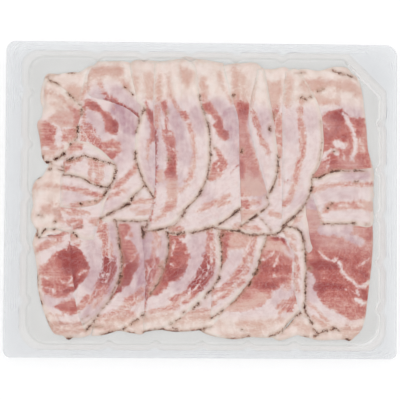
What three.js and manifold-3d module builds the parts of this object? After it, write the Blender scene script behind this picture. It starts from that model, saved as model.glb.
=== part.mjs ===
import * as THREE from 'three';
import { mergeVertices } from 'three/addons/utils/BufferGeometryUtils.js';
import Module from 'manifold-3d';

// A sealed tray of thin sliced cured meat. Millimetres, +Z up, the tray rests on z = 0.

// Tray
const trayLength = 250;
const trayWidth = 201;
const rimHeight = 12;
const sheet = 0.5;
const flangeCorners = { backLeft: 6, backRight: 7.5, frontRight: 4.5, frontLeft: 5 };
const wellTop = { left: -115, right: 118, front: -95.4, back: 94.6 };
const wellFloor = { left: -110.8, right: 115, front: -92, back: 91.6 };
const wellCorners = { backLeft: 10, backRight: 24, frontRight: 13, frontLeft: 14 };
const floorInset = 9;

// Ribs pressed into the walls
const ribLength = 10;
const ribDepth = 2.2;
const ribShape = [0, 0.75, 1, 0.75, 0];
const ribRows = {
  front: { middle: 1, pitch: 29.8, count: 5 },
  right: { middle: -9.5, pitch: 30, count: 5 },
  back: { middle: -8, pitch: 29.8, count: 5 },
  left: { middle: 2, pitch: 33.5, count: 5 },
};
const noRibs = { middle: 0, pitch: 0, count: 0 };
const plainRows = { front: noRibs, right: noRibs, back: noRibs, left: noRibs };
const cornerSteps = 6;

// Film
const filmThickness = 0.3;
const filmGap = 0.3;
const filmDip = 0.8;
const filmInsets = [10, 40];

// Slices
const sliceThickness = 1;
const sliceGap = 0.25;
const ripple = 0.2;
const rippleLength = 26;
const gridPitch = 9;
const edgeSteps = 13;
const prismHeight = 60;
const stations = [0.04, 0.25, 0.5, 0.75, 0.96];
const sliceColors = [0xd8a79c, 0xc98a80, 0xe0beb2, 0xcf9a90];

// Every slice has a foot and a top, and its widths either side of the line between them
// at the stations. The lowest slice of the pile comes first.
const slices = [
  { name: 'front_slice_8', foot: [30.5, -89], top: [48.5, -7.5],
    left: [31, 32.5, 32.5, 33.5, 13], right: [11.5, 26.5, 28.5, 23, 17.5] },
  { name: 'right_slice_2', foot: [91, -89.5], top: [78, -3.5],
    left: [19, 24.5, 19, 13, 8], right: [9.5, 19, 24, 29, 23] },
  { name: 'front_slice_1', foot: [-81, -89], top: [-91.5, -17],
    left: [6.5, 16.5, 17.5, 17, 14], right: [12.5, 19, 20.5, 20.5, 17] },
  { name: 'front_slice_3', foot: [-69, -87.5], top: [-32, -8],
    left: [1, 6.5, 13.5, 21.5, 7.5], right: [6, 22.5, 26, 20, 11] },
  { name: 'front_slice_6', foot: [-36.5, -84], top: [17, -38],
    left: [2.5, 15, 13, 7.5, 2], right: [2, 15.5, 25, 21.5, 9] },
  { name: 'front_slice_7', foot: [6.5, -76.5], top: [34.5, -8],
    left: [1, 7, 14.5, 21.5, 7], right: [1.5, 10, 14.5, 13, 11.5] },
  { name: 'front_slice_5', foot: [-37, -84], top: [2.5, -9.5],
    left: [1.5, 9, 19.5, 29.5, 6.5], right: [5, 18.5, 25.5, 23.5, 13] },
  { name: 'front_slice_4', foot: [-34.5, -64], top: [-28, -7.5],
    left: [0.5, 2.5, 5, 7.5, 9], right: [1.5, 7, 10, 9.5, 7.5] },
  { name: 'front_slice_2', foot: [-72.5, -84], top: [-61, -9.5],
    left: [2, 10.5, 15.5, 19, 7.5], right: [1, 10, 16, 13, 9.5] },
  { name: 'right_slice_3', foot: [70, -33.5], top: [65.5, -1],
    left: [0.5, 3, 6, 8, 4.5], right: [2, 2, 1.5, 2.5, 2.5] },
  { name: 'front_slice_9', foot: [69, -75], top: [59, -8.5],
    left: [4.5, 6, 4, 6.5, 4], right: [0.5, 1, 3.5, 3.5, 1] },
  { name: 'back_slice_13', foot: [82, 7], top: [84, 86],
    left: [17, 20.5, 21.5, 24, 18], right: [24, 25, 23, 18.5, 12] },
  { name: 'right_slice_1', foot: [70, 6.5], top: [111, -10.5],
    left: [11, 18, 23, 24.5, 7], right: [1.5, 12, 14, 10, 6.5] },
  { name: 'back_slice_11', foot: [31.5, -22.5], top: [54.5, 84],
    left: [7.5, 9, 10.5, 11, 7], right: [17.5, 27.5, 22.5, 14.5, 5.5] },
  { name: 'back_slice_9', foot: [23.5, -17.5], top: [32.5, 88],
    left: [1.5, 9.5, 13, 14, 13], right: [6.5, 21, 19, 14.5, 8] },
  { name: 'back_slice_10', foot: [43, 1.5], top: [39.5, 86],
    left: [1, 5, 10, 9, 4], right: [2, 7.5, 6.5, 4.5, 2] },
  { name: 'back_slice_12', foot: [51.5, -17.5], top: [60, 85],
    left: [0.5, 1.5, 3.5, 6, 6], right: [4, 17.5, 20.5, 17.5, 5.5] },
  { name: 'back_slice_8', foot: [-15, -23], top: [3, 90],
    left: [6, 4.5, 6, 6.5, 4], right: [12.5, 36.5, 31, 24, 13] },
  { name: 'back_slice_1', foot: [-103, 66], top: [-64.5, 62],
    left: [13.5, 16, 17.5, 22, 8], right: [2.5, 4, 4, 3, 1] },
  { name: 'left_slice_4', foot: [-72, -26.5], top: [-93, 19.5],
    left: [2.5, 11.5, 28, 23, 13.5], right: [6.5, 15.5, 23, 17, 3.5] },
  { name: 'left_slice_3', foot: [-90, -5.5], top: [-58.5, 12],
    left: [2.5, 16, 19.5, 14, 9], right: [0.5, 3.5, 7.5, 8, 2] },
  { name: 'back_slice_6', foot: [-64, -10], top: [-30.5, 12],
    left: [2, 7.5, 8.5, 4.5, 0.5], right: [6.5, 11.5, 18.5, 13, 2] },
  { name: 'back_slice_3', foot: [-64, -12.5], top: [-54, 84.5],
    left: [-0.5, -0.5, 12.5, 17.5, 16], right: [8, 27, 26.5, 22.5, 14] },
  { name: 'back_slice_4', foot: [-39.5, 51.5], top: [-62, 88.5],
    left: [0.5, 4.5, 13, 17, 9], right: [2, 7.5, 12.5, 14, 6] },
  { name: 'back_slice_5', foot: [-30.5, 1.5], top: [-39, 88.5],
    left: [2, 9.5, 7, 2.5, 5], right: [0.5, 2.5, 4.5, 4.5, 6.5] },
  { name: 'back_slice_7', foot: [-34.5, -20.5], top: [-18, 88],
    left: [0, 1, 5, 9.5, 10.5], right: [11, 29, 33, 26.5, 14] },
  { name: 'left_slice_2', foot: [-88.5, 21.5], top: [-53.5, 25.5],
    left: [4, 8, 7.5, 6.5, 4], right: [7, 9, 14, 18, 5] },
  { name: 'left_slice_1', foot: [-91.5, 24.5], top: [-55, 22.5],
    left: [1.5, 9.5, 12.5, 8, 1.5], right: [0, -1, -4, -1, 0] },
  { name: 'back_slice_2', foot: [-98.5, 22.5], top: [-101, 77.5],
    left: [1, 5, 5.5, 1.5, 0], right: [6, 17.5, 22.5, 18.5, 4.5] },
];

const wasm = await Module();
wasm.setup();

function solidFrom(geometry) {
  const plain = geometry.clone();
  plain.deleteAttribute('normal');
  plain.deleteAttribute('uv');
  const merged = mergeVertices(plain, 1e-4);
  return new wasm.Manifold(new wasm.Mesh({
    numProp: 3,
    vertProperties: new Float32Array(merged.attributes.position.array),
    triVerts: new Uint32Array(merged.index.array),
  }));
}

function geometryFrom(solid) {
  const { vertProperties, triVerts } = solid.getMesh();
  const geometry = new THREE.BufferGeometry();
  geometry.setAttribute('position', new THREE.BufferAttribute(new Float32Array(vertProperties), 3));
  geometry.setIndex(new THREE.BufferAttribute(new Uint32Array(triVerts), 1));
  geometry.computeVertexNormals();
  return geometry;
}

function meshGeometry(positions, index) {
  const geometry = new THREE.BufferGeometry();
  geometry.setAttribute('position', new THREE.Float32BufferAttribute(positions, 3));
  geometry.setIndex(index);
  geometry.computeVertexNormals();
  return geometry;
}

// Positions along one side at which its ribs start, swell and end, with the swelling there.
function ribStops({ middle, pitch, count }) {
  const stops = [];
  for (let rib = 0; rib < count; rib += 1) {
    const centre = middle + (rib - (count - 1) / 2) * pitch;
    ribShape.forEach((swell, step) => {
      stops.push({ at: centre + (step / (ribShape.length - 1) - 0.5) * ribLength, swell });
    });
  }
  return stops;
}

// A ring counterclockwise from the front left corner: sides with ribs of the given depth, arcs
// at three corners and a straight cut at the back right one when cutCorner is set.
function ring({ left, right, front, back }, corners, depth, z, cutCorner, ribs = ribRows) {
  const points = [];
  const corner = (x, y, signX, signY, radius, start, cut) => {
    const centre = new THREE.Vector2(x - signX * radius, y - signY * radius);
    const from = new THREE.Vector2(Math.cos(start), Math.sin(start)).multiplyScalar(radius).add(centre);
    const end = start + Math.PI / 2;
    const to = new THREE.Vector2(Math.cos(end), Math.sin(end)).multiplyScalar(radius).add(centre);
    for (let step = 0; step <= cornerSteps; step += 1) {
      const share = step / cornerSteps;
      const turn = start + share * Math.PI / 2;
      const point = cut ? from.clone().lerp(to, share)
        : new THREE.Vector2(Math.cos(turn), Math.sin(turn)).multiplyScalar(radius).add(centre);
      points.push(new THREE.Vector3(point.x, point.y, z));
    }
  };
  corner(left, front, -1, -1, corners.frontLeft, Math.PI, false);
  for (const stop of ribStops(ribs.front)) {
    points.push(new THREE.Vector3(stop.at, front + depth * stop.swell, z));
  }
  corner(right, front, 1, -1, corners.frontRight, -Math.PI / 2, false);
  for (const stop of ribStops(ribs.right)) {
    points.push(new THREE.Vector3(right - depth * stop.swell, stop.at, z));
  }
  corner(right, back, 1, 1, corners.backRight, 0, cutCorner);
  for (const stop of ribStops(ribs.back).reverse()) {
    points.push(new THREE.Vector3(stop.at, back - depth * stop.swell, z));
  }
  corner(left, back, -1, 1, corners.backLeft, Math.PI / 2, false);
  for (const stop of ribStops(ribs.left).reverse()) {
    points.push(new THREE.Vector3(left + depth * stop.swell, stop.at, z));
  }
  return points;
}

function grow({ left, right, front, back }, by) {
  return { left: left - by, right: right + by, front: front - by, back: back + by };
}

function growCorners(corners, by) {
  return Object.fromEntries(Object.entries(corners).map(([key, size]) => [key, Math.max(size + by, 1)]));
}

// A closed skin over rings that run from the middle of the upper face, out round the rim
// and back to the middle of the lower face.
function loft(rings) {
  const positions = [];
  const index = [];
  const count = rings[0].length;
  for (const points of rings) {
    for (const point of points) {
      positions.push(point.x, point.y, point.z);
    }
  }
  for (let row = 0; row + 1 < rings.length; row += 1) {
    for (let step = 0; step < count; step += 1) {
      const here = row * count + step;
      const next = row * count + (step + 1) % count;
      index.push(here, here + count, next);
      index.push(next, here + count, next + count);
    }
  }
  const cap = (row, upper) => {
    const middle = positions.length / 3;
    positions.push(0, 0, rings[row][0].z);
    for (let step = 0; step < count; step += 1) {
      const here = row * count + step;
      const next = row * count + (step + 1) % count;
      index.push(middle, upper ? here : next, upper ? next : here);
    }
  };
  cap(0, true);
  cap(rings.length - 1, false);
  return meshGeometry(positions, index);
}

const flange = { left: -trayLength / 2, right: trayLength / 2, front: -trayWidth / 2, back: trayWidth / 2 };
const innerFloor = grow(wellFloor, -floorInset);
const innerCorners = growCorners(wellCorners, -floorInset / 2);

const trayGeometry = loft([
  ring(innerFloor, innerCorners, 0, sheet, true),
  ring(wellFloor, wellCorners, ribDepth, sheet, true),
  ring(wellTop, wellCorners, ribDepth, rimHeight, true),
  ring(flange, flangeCorners, 0, rimHeight, false),
  ring(flange, flangeCorners, 0, rimHeight - sheet, false),
  ring(grow(wellTop, sheet), wellCorners, ribDepth, rimHeight - sheet, true),
  ring(grow(wellFloor, sheet), wellCorners, ribDepth, 0, true),
  ring(innerFloor, innerCorners, 0, 0, true),
]);

// The film lies just over the flange and dips a little over the well.
function filmRings(underside) {
  const base = rimHeight + filmGap + (underside ? 0 : filmThickness);
  const outer = ring(flange, flangeCorners, 0, base, false, plainRows);
  const overWall = ring(wellTop, wellCorners, 0, base, false, plainRows);
  const inner = filmInsets.map((inset, step) => {
    const corners = growCorners(wellCorners, inset / 2);
    const dip = filmDip * (step + 1) / filmInsets.length;
    return ring(grow(wellTop, -inset), corners, 0, base - dip, false, plainRows);
  });
  return [...inner.reverse(), overWall, outer];
}

function filmSheet() {
  return loft([...filmRings(false), ...filmRings(true).reverse()]);
}

// Slice outline: one curve up the right-hand edge, another down the left-hand edge.
function outlineOf({ foot, top, left, right }) {
  const start = new THREE.Vector2(...foot);
  const end = new THREE.Vector2(...top);
  const along = end.clone().sub(start);
  const side = new THREE.Vector2(along.y, -along.x).normalize();
  const edge = (widths, sign) => stations.map((station, step) => start.clone()
    .addScaledVector(along, station).addScaledVector(side, sign * widths[step]));
  const rightEdge = new THREE.SplineCurve([start, ...edge(right, 1), end]);
  const leftEdge = new THREE.SplineCurve([end, ...edge(left, -1).reverse(), start]);
  const points = [...rightEdge.getSpacedPoints(edgeSteps).slice(0, -1)];
  points.push(...leftEdge.getSpacedPoints(edgeSteps).slice(0, -1));
  return points;
}

function insideOutline(outline, x, y) {
  let inside = false;
  outline.forEach((point, step) => {
    const next = outline[(step + 1) % outline.length];
    const crosses = (point.y > y) !== (next.y > y);
    if (crosses && x < point.x + (next.x - point.x) * (y - point.y) / (next.y - point.y)) {
      inside = !inside;
    }
  });
  return inside;
}

function distanceToOutline(outline, x, y) {
  const place = new THREE.Vector3(x, y, 0);
  const line = new THREE.Line3();
  const nearest = new THREE.Vector3();
  let least = Infinity;
  outline.forEach((point, step) => {
    const next = outline[(step + 1) % outline.length];
    line.start.set(point.x, point.y, 0);
    line.end.set(next.x, next.y, 0);
    least = Math.min(least, line.closestPointToPoint(place, true, nearest).distanceTo(place));
  });
  return least;
}

// The pile is kept as one height at every crossing of a grid that all slices share, so a
// slice laid over another never cuts into it.
const columns = Math.ceil((wellFloor.right - wellFloor.left) / gridPitch);
const rows = Math.ceil((wellFloor.back - wellFloor.front) / gridPitch);
const gridX = (column) => wellFloor.left + column * gridPitch;
const gridY = (row) => wellFloor.front + row * gridPitch;
const at = (column, row) => row * (columns + 1) + column;
const pile = new Float64Array((columns + 1) * (rows + 1)).fill(sheet + sliceGap);

// Heights that a slice takes up: the pile below it, bridged over hollows, with a slight ripple.
function restingHeights(turn) {
  const heights = Float64Array.from(pile);
  for (let row = 1; row < rows; row += 1) {
    for (let column = 1; column < columns; column += 1) {
      const around = pile[at(column - 1, row)] + pile[at(column + 1, row)]
        + pile[at(column, row - 1)] + pile[at(column, row + 1)];
      const wave = 0.5 + 0.5 * Math.sin((gridX(column) * Math.cos(turn) + gridY(row) * Math.sin(turn))
        * 2 * Math.PI / rippleLength + turn);
      heights[at(column, row)] = Math.max(pile[at(column, row)], around / 4) + ripple * wave;
    }
  }
  return heights;
}

function slabOver(heights, low, high) {
  const positions = [];
  const index = [];
  const across = high.column - low.column + 1;
  const deep = high.row - low.row + 1;
  for (const lift of [0, sliceThickness]) {
    for (let row = low.row; row <= high.row; row += 1) {
      for (let column = low.column; column <= high.column; column += 1) {
        positions.push(gridX(column), gridY(row), heights[at(column, row)] + lift);
      }
    }
  }
  const upper = across * deep;
  for (let row = 0; row + 1 < deep; row += 1) {
    for (let column = 0; column + 1 < across; column += 1) {
      const here = row * across + column;
      index.push(here, here + across, here + 1);
      index.push(here + 1, here + across, here + across + 1);
      index.push(upper + here, upper + here + 1, upper + here + across);
      index.push(upper + here + 1, upper + here + across + 1, upper + here + across);
    }
  }
  const wall = (from, to) => {
    index.push(from, to, upper + to);
    index.push(from, upper + to, upper + from);
  };
  for (let column = 0; column + 1 < across; column += 1) {
    wall(column, column + 1);
    wall((deep - 1) * across + column + 1, (deep - 1) * across + column);
  }
  for (let row = 0; row + 1 < deep; row += 1) {
    wall((row + 1) * across, row * across);
    wall(row * across + across - 1, (row + 1) * across + across - 1);
  }
  return meshGeometry(positions, index);
}

function laySlice(slice, turn) {
  const outline = outlineOf(slice);
  const heights = restingHeights(turn);
  const low = { column: columns, row: rows };
  const high = { column: 0, row: 0 };
  const reach = gridPitch * Math.SQRT1_2;
  for (let row = 0; row < rows; row += 1) {
    for (let column = 0; column < columns; column += 1) {
      const x = gridX(column + 0.5);
      const y = gridY(row + 0.5);
      if (!insideOutline(outline, x, y) && distanceToOutline(outline, x, y) > reach) {
        continue;
      }
      low.column = Math.min(low.column, column);
      low.row = Math.min(low.row, row);
      high.column = Math.max(high.column, column + 1);
      high.row = Math.max(high.row, row + 1);
      for (const spot of [at(column, row), at(column + 1, row), at(column, row + 1), at(column + 1, row + 1)]) {
        pile[spot] = heights[spot] + sliceThickness + sliceGap;
      }
    }
  }
  const prism = new THREE.ExtrudeGeometry(new THREE.Shape(outline), { depth: prismHeight, bevelEnabled: false });
  prism.translate(0, 0, -prismHeight / 2);
  return geometryFrom(solidFrom(slabOver(heights, low, high)).intersect(solidFrom(prism)));
}

const part = new THREE.Group();
part.name = 'sliced_meat_pack';

function addNode(name, geometry, color, roughness) {
  const material = new THREE.MeshStandardMaterial({ color, roughness, metalness: 0 });
  const mesh = new THREE.Mesh(geometry, material);
  mesh.name = name;
  part.add(mesh);
}

addNode('tray', trayGeometry, 0xe2e4e4, 0.2);
slices.forEach((slice, step) => {
  addNode(slice.name, laySlice(slice, step), sliceColors[step % sliceColors.length], 0.45);
});
addNode('film', filmSheet(), 0xeceeee, 0.15);

export default part;
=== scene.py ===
import bpy
import numpy as np
from mathutils import Euler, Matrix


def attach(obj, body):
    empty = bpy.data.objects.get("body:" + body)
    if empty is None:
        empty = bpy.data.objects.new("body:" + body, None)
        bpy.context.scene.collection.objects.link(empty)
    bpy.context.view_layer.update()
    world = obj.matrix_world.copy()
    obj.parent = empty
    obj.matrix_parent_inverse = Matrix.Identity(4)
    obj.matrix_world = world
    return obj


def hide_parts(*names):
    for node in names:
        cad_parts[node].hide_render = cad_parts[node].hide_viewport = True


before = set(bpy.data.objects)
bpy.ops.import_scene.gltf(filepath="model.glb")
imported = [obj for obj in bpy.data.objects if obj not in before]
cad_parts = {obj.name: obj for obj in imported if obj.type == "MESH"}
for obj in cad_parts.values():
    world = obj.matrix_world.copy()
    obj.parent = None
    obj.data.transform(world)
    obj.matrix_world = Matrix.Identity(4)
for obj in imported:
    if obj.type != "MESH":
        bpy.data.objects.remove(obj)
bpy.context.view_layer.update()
scene = bpy.context.scene
scene.view_settings.view_transform = "Standard"

# camera straight above the pack, fitted to the four corners of the tray
cameraPlan = {
    "place": (-0.01916, -0.02093, 0.71879),
    "turn": (0.02944, -0.02581, 0.00741),
    "lens": 100,
    "sensor": 36,
    "nearest": 0.01,
    "photo": 400,  # pixels a side
    "meatLevel": 0.006,  # level that spots of the photo are carried to
}
bpy.ops.object.select_all(action="DESELECT")
bpy.ops.object.camera_add(location=cameraPlan["place"], rotation=cameraPlan["turn"])
camera = bpy.context.object
camera.data.lens = cameraPlan["lens"]
camera.data.sensor_width = cameraPlan["sensor"]
camera.data.clip_start = cameraPlan["nearest"]
scene.camera = camera
print("camera set")


# spots of the photo, carried along the camera's line of sight to the level of the meat
def photoSpot(spots):
    turn = np.array(Euler(cameraPlan["turn"]).to_matrix())
    place = np.array(cameraPlan["place"])
    half = cameraPlan["photo"] / 2
    reach = cameraPlan["photo"] * cameraPlan["lens"] / cameraPlan["sensor"]
    sight = np.column_stack([spots[:, 0] - half, half - spots[:, 1], np.full(len(spots), -reach)]) @ turn.T
    return place[:2] + sight[:, :2] * ((cameraPlan["meatLevel"] - place[2]) / sight[:, 2])[:, None]


def pairs(values):
    return np.array(values, float).reshape(-1, 2)


curveSteps = 12  # between two given spots of a smooth line
tiny = 1e-12


# even spots along a smooth line through the given ones, and its length
def smoothLine(spots, count):
    ends = np.vstack([2 * spots[0] - spots[1], spots, 2 * spots[-1] - spots[-2]])
    t = np.linspace(0, 1, curveSteps, endpoint=False)[:, None]
    fine = []
    for a, b, c, d in zip(ends, ends[1:], ends[2:], ends[3:]):
        fine.append(b + t * (c - a + t * (2 * a - 5 * b + 4 * c - d + t * (3 * b - a - 3 * c + d))) / 2)
    fine = np.vstack(fine + [spots[-1:]])
    run = np.concatenate([[0], np.cumsum(np.linalg.norm(np.diff(fine, axis=0), axis=1))])
    marks = np.linspace(0, run[-1], count)
    return np.column_stack([np.interp(marks, run, fine[:, k]) for k in (0, 1)]), run[-1]


def lineDistance(spots, line):
    best = np.full(len(spots), np.inf)
    for a, b in zip(line, line[1:]):
        step = b - a
        t = np.clip(((spots - a) @ step) / max(step @ step, tiny), 0, 1)
        best = np.minimum(best, np.linalg.norm(spots - a - t[:, None] * step, axis=1))
    return best


# how far inside an outline a spot is, less than nothing outside it
def patchDepth(spots, outline):
    ring = np.vstack([outline, outline[:1]])
    inside = np.zeros(len(spots), bool)
    for a, b in zip(ring, ring[1:]):
        crosses = (a[1] > spots[:, 1]) != (b[1] > spots[:, 1])
        rise = b[1] - a[1] if abs(b[1] - a[1]) > tiny else tiny
        inside ^= crosses & (spots[:, 0] < a[0] + (spots[:, 1] - a[1]) * (b[0] - a[0]) / rise)
    away = lineDistance(spots, ring)
    return np.where(inside, away, -away)


# a socket with Python's operators, each one adding a Math node
class Wire:
    def __init__(self, finish, socket):
        self.finish = finish
        self.socket = socket

    def maths(self, operation, first, second):
        return self.finish.node("ShaderNodeMath", {"operation": operation}, {0: first, 1: second})

    def __add__(self, other):
        return self.maths("ADD", self, other)

    def __sub__(self, other):
        return self.maths("SUBTRACT", self, other)

    def __rsub__(self, other):
        return self.maths("SUBTRACT", other, self)

    def __mul__(self, other):
        return self.maths("MULTIPLY", self, other)


# a material under construction
class Finish:
    def __init__(self, name):
        self.material = bpy.data.materials.new(name)
        self.material.use_nodes = True
        self.tree = self.material.node_tree
        self.tree.nodes.clear()

    def node(self, kind, settings, sockets, out=0):
        made = self.tree.nodes.new(kind)
        for name, value in settings.items():
            setattr(made, name, value)
        for key, value in sockets.items():
            if isinstance(value, Wire):
                self.tree.links.new(value.socket, made.inputs[key])
            else:
                made.inputs[key].default_value = value
        return Wire(self, made.outputs[out]) if len(made.outputs) else None

    def field(self, name, out="Fac"):
        return self.node("ShaderNodeAttribute", {"attribute_name": name}, {}, out)

    # 0 below low, 1 above high
    def step(self, value, low, high):
        bounds = {"Value": value, "From Min": low, "From Max": high, "To Min": 0.0, "To Max": 1.0}
        return self.node("ShaderNodeMapRange", {"interpolation_type": "SMOOTHSTEP"}, bounds)

    def mix(self, factor, first, second):
        return self.node("ShaderNodeMix", {"data_type": "RGBA"}, {0: factor, 6: first, 7: second}, 2)

    def stretch(self, place, waves):
        return self.node("ShaderNodeVectorMath", {"operation": "MULTIPLY"}, {0: place, 1: waves})

    # noise about zero, with so many waves each way to the unit of the place
    def noise(self, place, waves, detail):
        sockets = {"Vector": self.stretch(place, waves), "Scale": 1.0, "Detail": detail}
        return self.node("ShaderNodeTexNoise", {}, sockets) - 0.5

    def done(self, shader):
        self.node("ShaderNodeOutputMaterial", {}, {"Surface": shader})
        return self.material


# the sum of the layers named, each times its weight
def weighed(layers, weights):
    parts = [layers[name] * weight for name, weight in weights.items()]
    return sum(parts[1:], parts[0])


# a colour as a screen shows it, made linear for the shader by the sRGB curve
def tint(red, green, blue):
    part = [c / 255 for c in (red, green, blue)]
    return tuple(c / 12.92 if c < 0.04045 else ((c + 0.055) / 1.055) ** 2.4 for c in part) + (1.0,)


# a grid of cells, and the places of its corners, from 0 to 1 each way
def newGrid(name, columns, rows):
    bpy.ops.object.select_all(action="DESELECT")
    bpy.ops.mesh.primitive_grid_add(x_subdivisions=columns, y_subdivisions=rows, size=1)
    piece = bpy.context.object
    piece.name = name
    mesh = piece.data
    mesh.uv_layers.remove(mesh.uv_layers[0])
    places = np.empty(len(mesh.vertices) * 3)
    mesh.vertices.foreach_get("co", places)
    return piece, places.reshape(-1, 3)[:, :2] + 0.5


# a shaped grid made a closed sheet: spots that meet merged, its face up, its thickness below that
def closeSheet(piece, thick, plan, finish, groupName=""):
    mesh = piece.data
    bpy.ops.object.mode_set(mode="EDIT")
    bpy.ops.mesh.select_all(action="SELECT")
    bpy.ops.mesh.remove_doubles(threshold=plan["mergeWithin"])
    bpy.ops.object.mode_set(mode="OBJECT")
    if sum(face.normal.z * face.area for face in mesh.polygons) < 0:
        mesh.flip_normals()
    solid = piece.modifiers.new("solid", "SOLIDIFY")
    solid.thickness = thick
    solid.offset = -1
    solid.vertex_group = groupName
    bpy.ops.object.modifier_apply(modifier=solid.name)
    bpy.ops.object.shade_smooth_by_angle(angle=np.radians(plan["smoothAngle"]))
    mesh.materials.clear()
    mesh.materials.append(finish)


# cured meat: fat, streaks of lean, a painted veil of light scattered by the loose film, with painted light
# and shade along its pleats, and the dark rub along the rind
meatLook = {
    "fat": tint(222, 206, 204),
    "fatShade": tint(211, 189, 187),
    "cream": tint(222, 206, 195),  # fat beside the rind
    "blush": tint(178, 137, 147),  # flushed fat
    "dust": tint(184, 141, 140),  # lean behind the flush
    "faint": tint(210, 178, 166),  # lean, from its palest to its darkest
    "pale": tint(201, 151, 140),
    "mid": tint(182, 99, 90),
    "deep": tint(146, 42, 40),
    # painted veil: the next three colours stand for light scattered by the loose film over fat and lean
    "paintedVeilMilk": tint(230, 217, 210),  # fat and lean where the film hangs clear of them
    "paintedVeilSand": tint(215, 194, 183),
    "paintedVeilTan": tint(204, 167, 151),
    "stain": tint(178, 142, 120),  # rub, from its edge inwards
    "spice": tint(132, 78, 52),
    "spiceDark": tint(62, 16, 4),
    # waves each way to the metre, and detail
    "noises": {
        "broad": ((230.0, 230.0, 230.0), 3.0),
        "fine": ((900.0, 900.0, 900.0), 3.0),
        "grit": ((1300.0, 1300.0, 1300.0), 2.0),
        "drag": ((30.0, 900.0, 1.0), 1.0),
        "pleat": ((150.0, 50.0, 1.0), 2.0),
    },
    # waves across the slice and along it to the pixel of the photo
    "fibre": ((0.42, 0.1, 1.0), 3.0),
    "bundles": (0.17, 0.09, 1.0),
    "bend": {"Scale": 300.0, "Detail": 2.0},
    # weights of the noises in what they vary
    "ragged": {"broad": 3.4, "fine": 3.6, "looseFibre": 2.0},
    "mottle": {"looseFibre": 0.4, "broad": 0.4, "fine": 0.45, "drag": 0.45},
    "patchy": {"broad": 1.2, "fibre": 0.6},
    "fatMottle": {"broad": 1.0, "fibre": 0.6, "fine": 0.5},
    # painted light and shade of the film's pleats within the veil
    "paintedPleatLight": {"pleat": 0.7, "broad": 0.7, "fine": 0.3},
    # painted sheen streaks of the film
    "paintedFilmSheen": {"drag": 0.16},
    "rise": {"fine": 0.5, "fibre": 0.6},
    "dull": {"fibre": 0.2},
    # spans over which one look turns into the next, those of the edges in pixels of the photo
    "webSpan": (0.0, 0.07),
    "firmEdge": (-1.6, 1.3),
    "hazyEdge": (-4.4, 3.2),
    "thinEdge": (0.0, 3.0),
    "rindEdge": (1.0, 7.0),
    "leanSpans": {"pale": (0.0, 0.42), "mid": (0.25, 0.6), "deep": (0.45, 0.88)},
    "fatSpan": (-0.2, 0.3),
    "paintedPleatLightSpan": (-0.25, 0.25),
    # weights, span and share of each layer of the rub
    "rub": {
        "stain": ({"broad": 3.0}, (-3.0, 0.9), 0.5),
        "spice": ({"grit": 6.0, "broad": 5.0}, (0.0, 1.2), 0.68),
        "spiceDark": ({"grit": 8.0, "broad": 6.0}, (1.1, 2.1), 0.92),
    },
    "paintedVeilShare": 0.85,
    "pleatWander": 4.0,
    "webWander": 1.2,
    "webFade": 0.5,
    "thinFade": 0.14,
    "flushShare": 0.85,
    "dustShare": 0.5,
    "creamShare": 0.7,
    "paintedVeilLeanShare": 0.86,
    "paintedVeilSandShare": 0.7,
    "paintedVeilSandDrop": 0.6,
    "paintedFilmSheenShare": 0.03,
    "leanRise": 0.2,
    "clumpRise": 0.5,
    "clumpDull": 0.5,
    "bump": {"Strength": 0.3, "Distance": 0.0004},
    "roughness": 0.42,
    "shine": 0.3,
    "glow": 0.25,  # share of the light that goes through the flesh
    "glowReach": (1.0, 0.35, 0.28),
    "glowScale": 0.0014,
}


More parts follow.
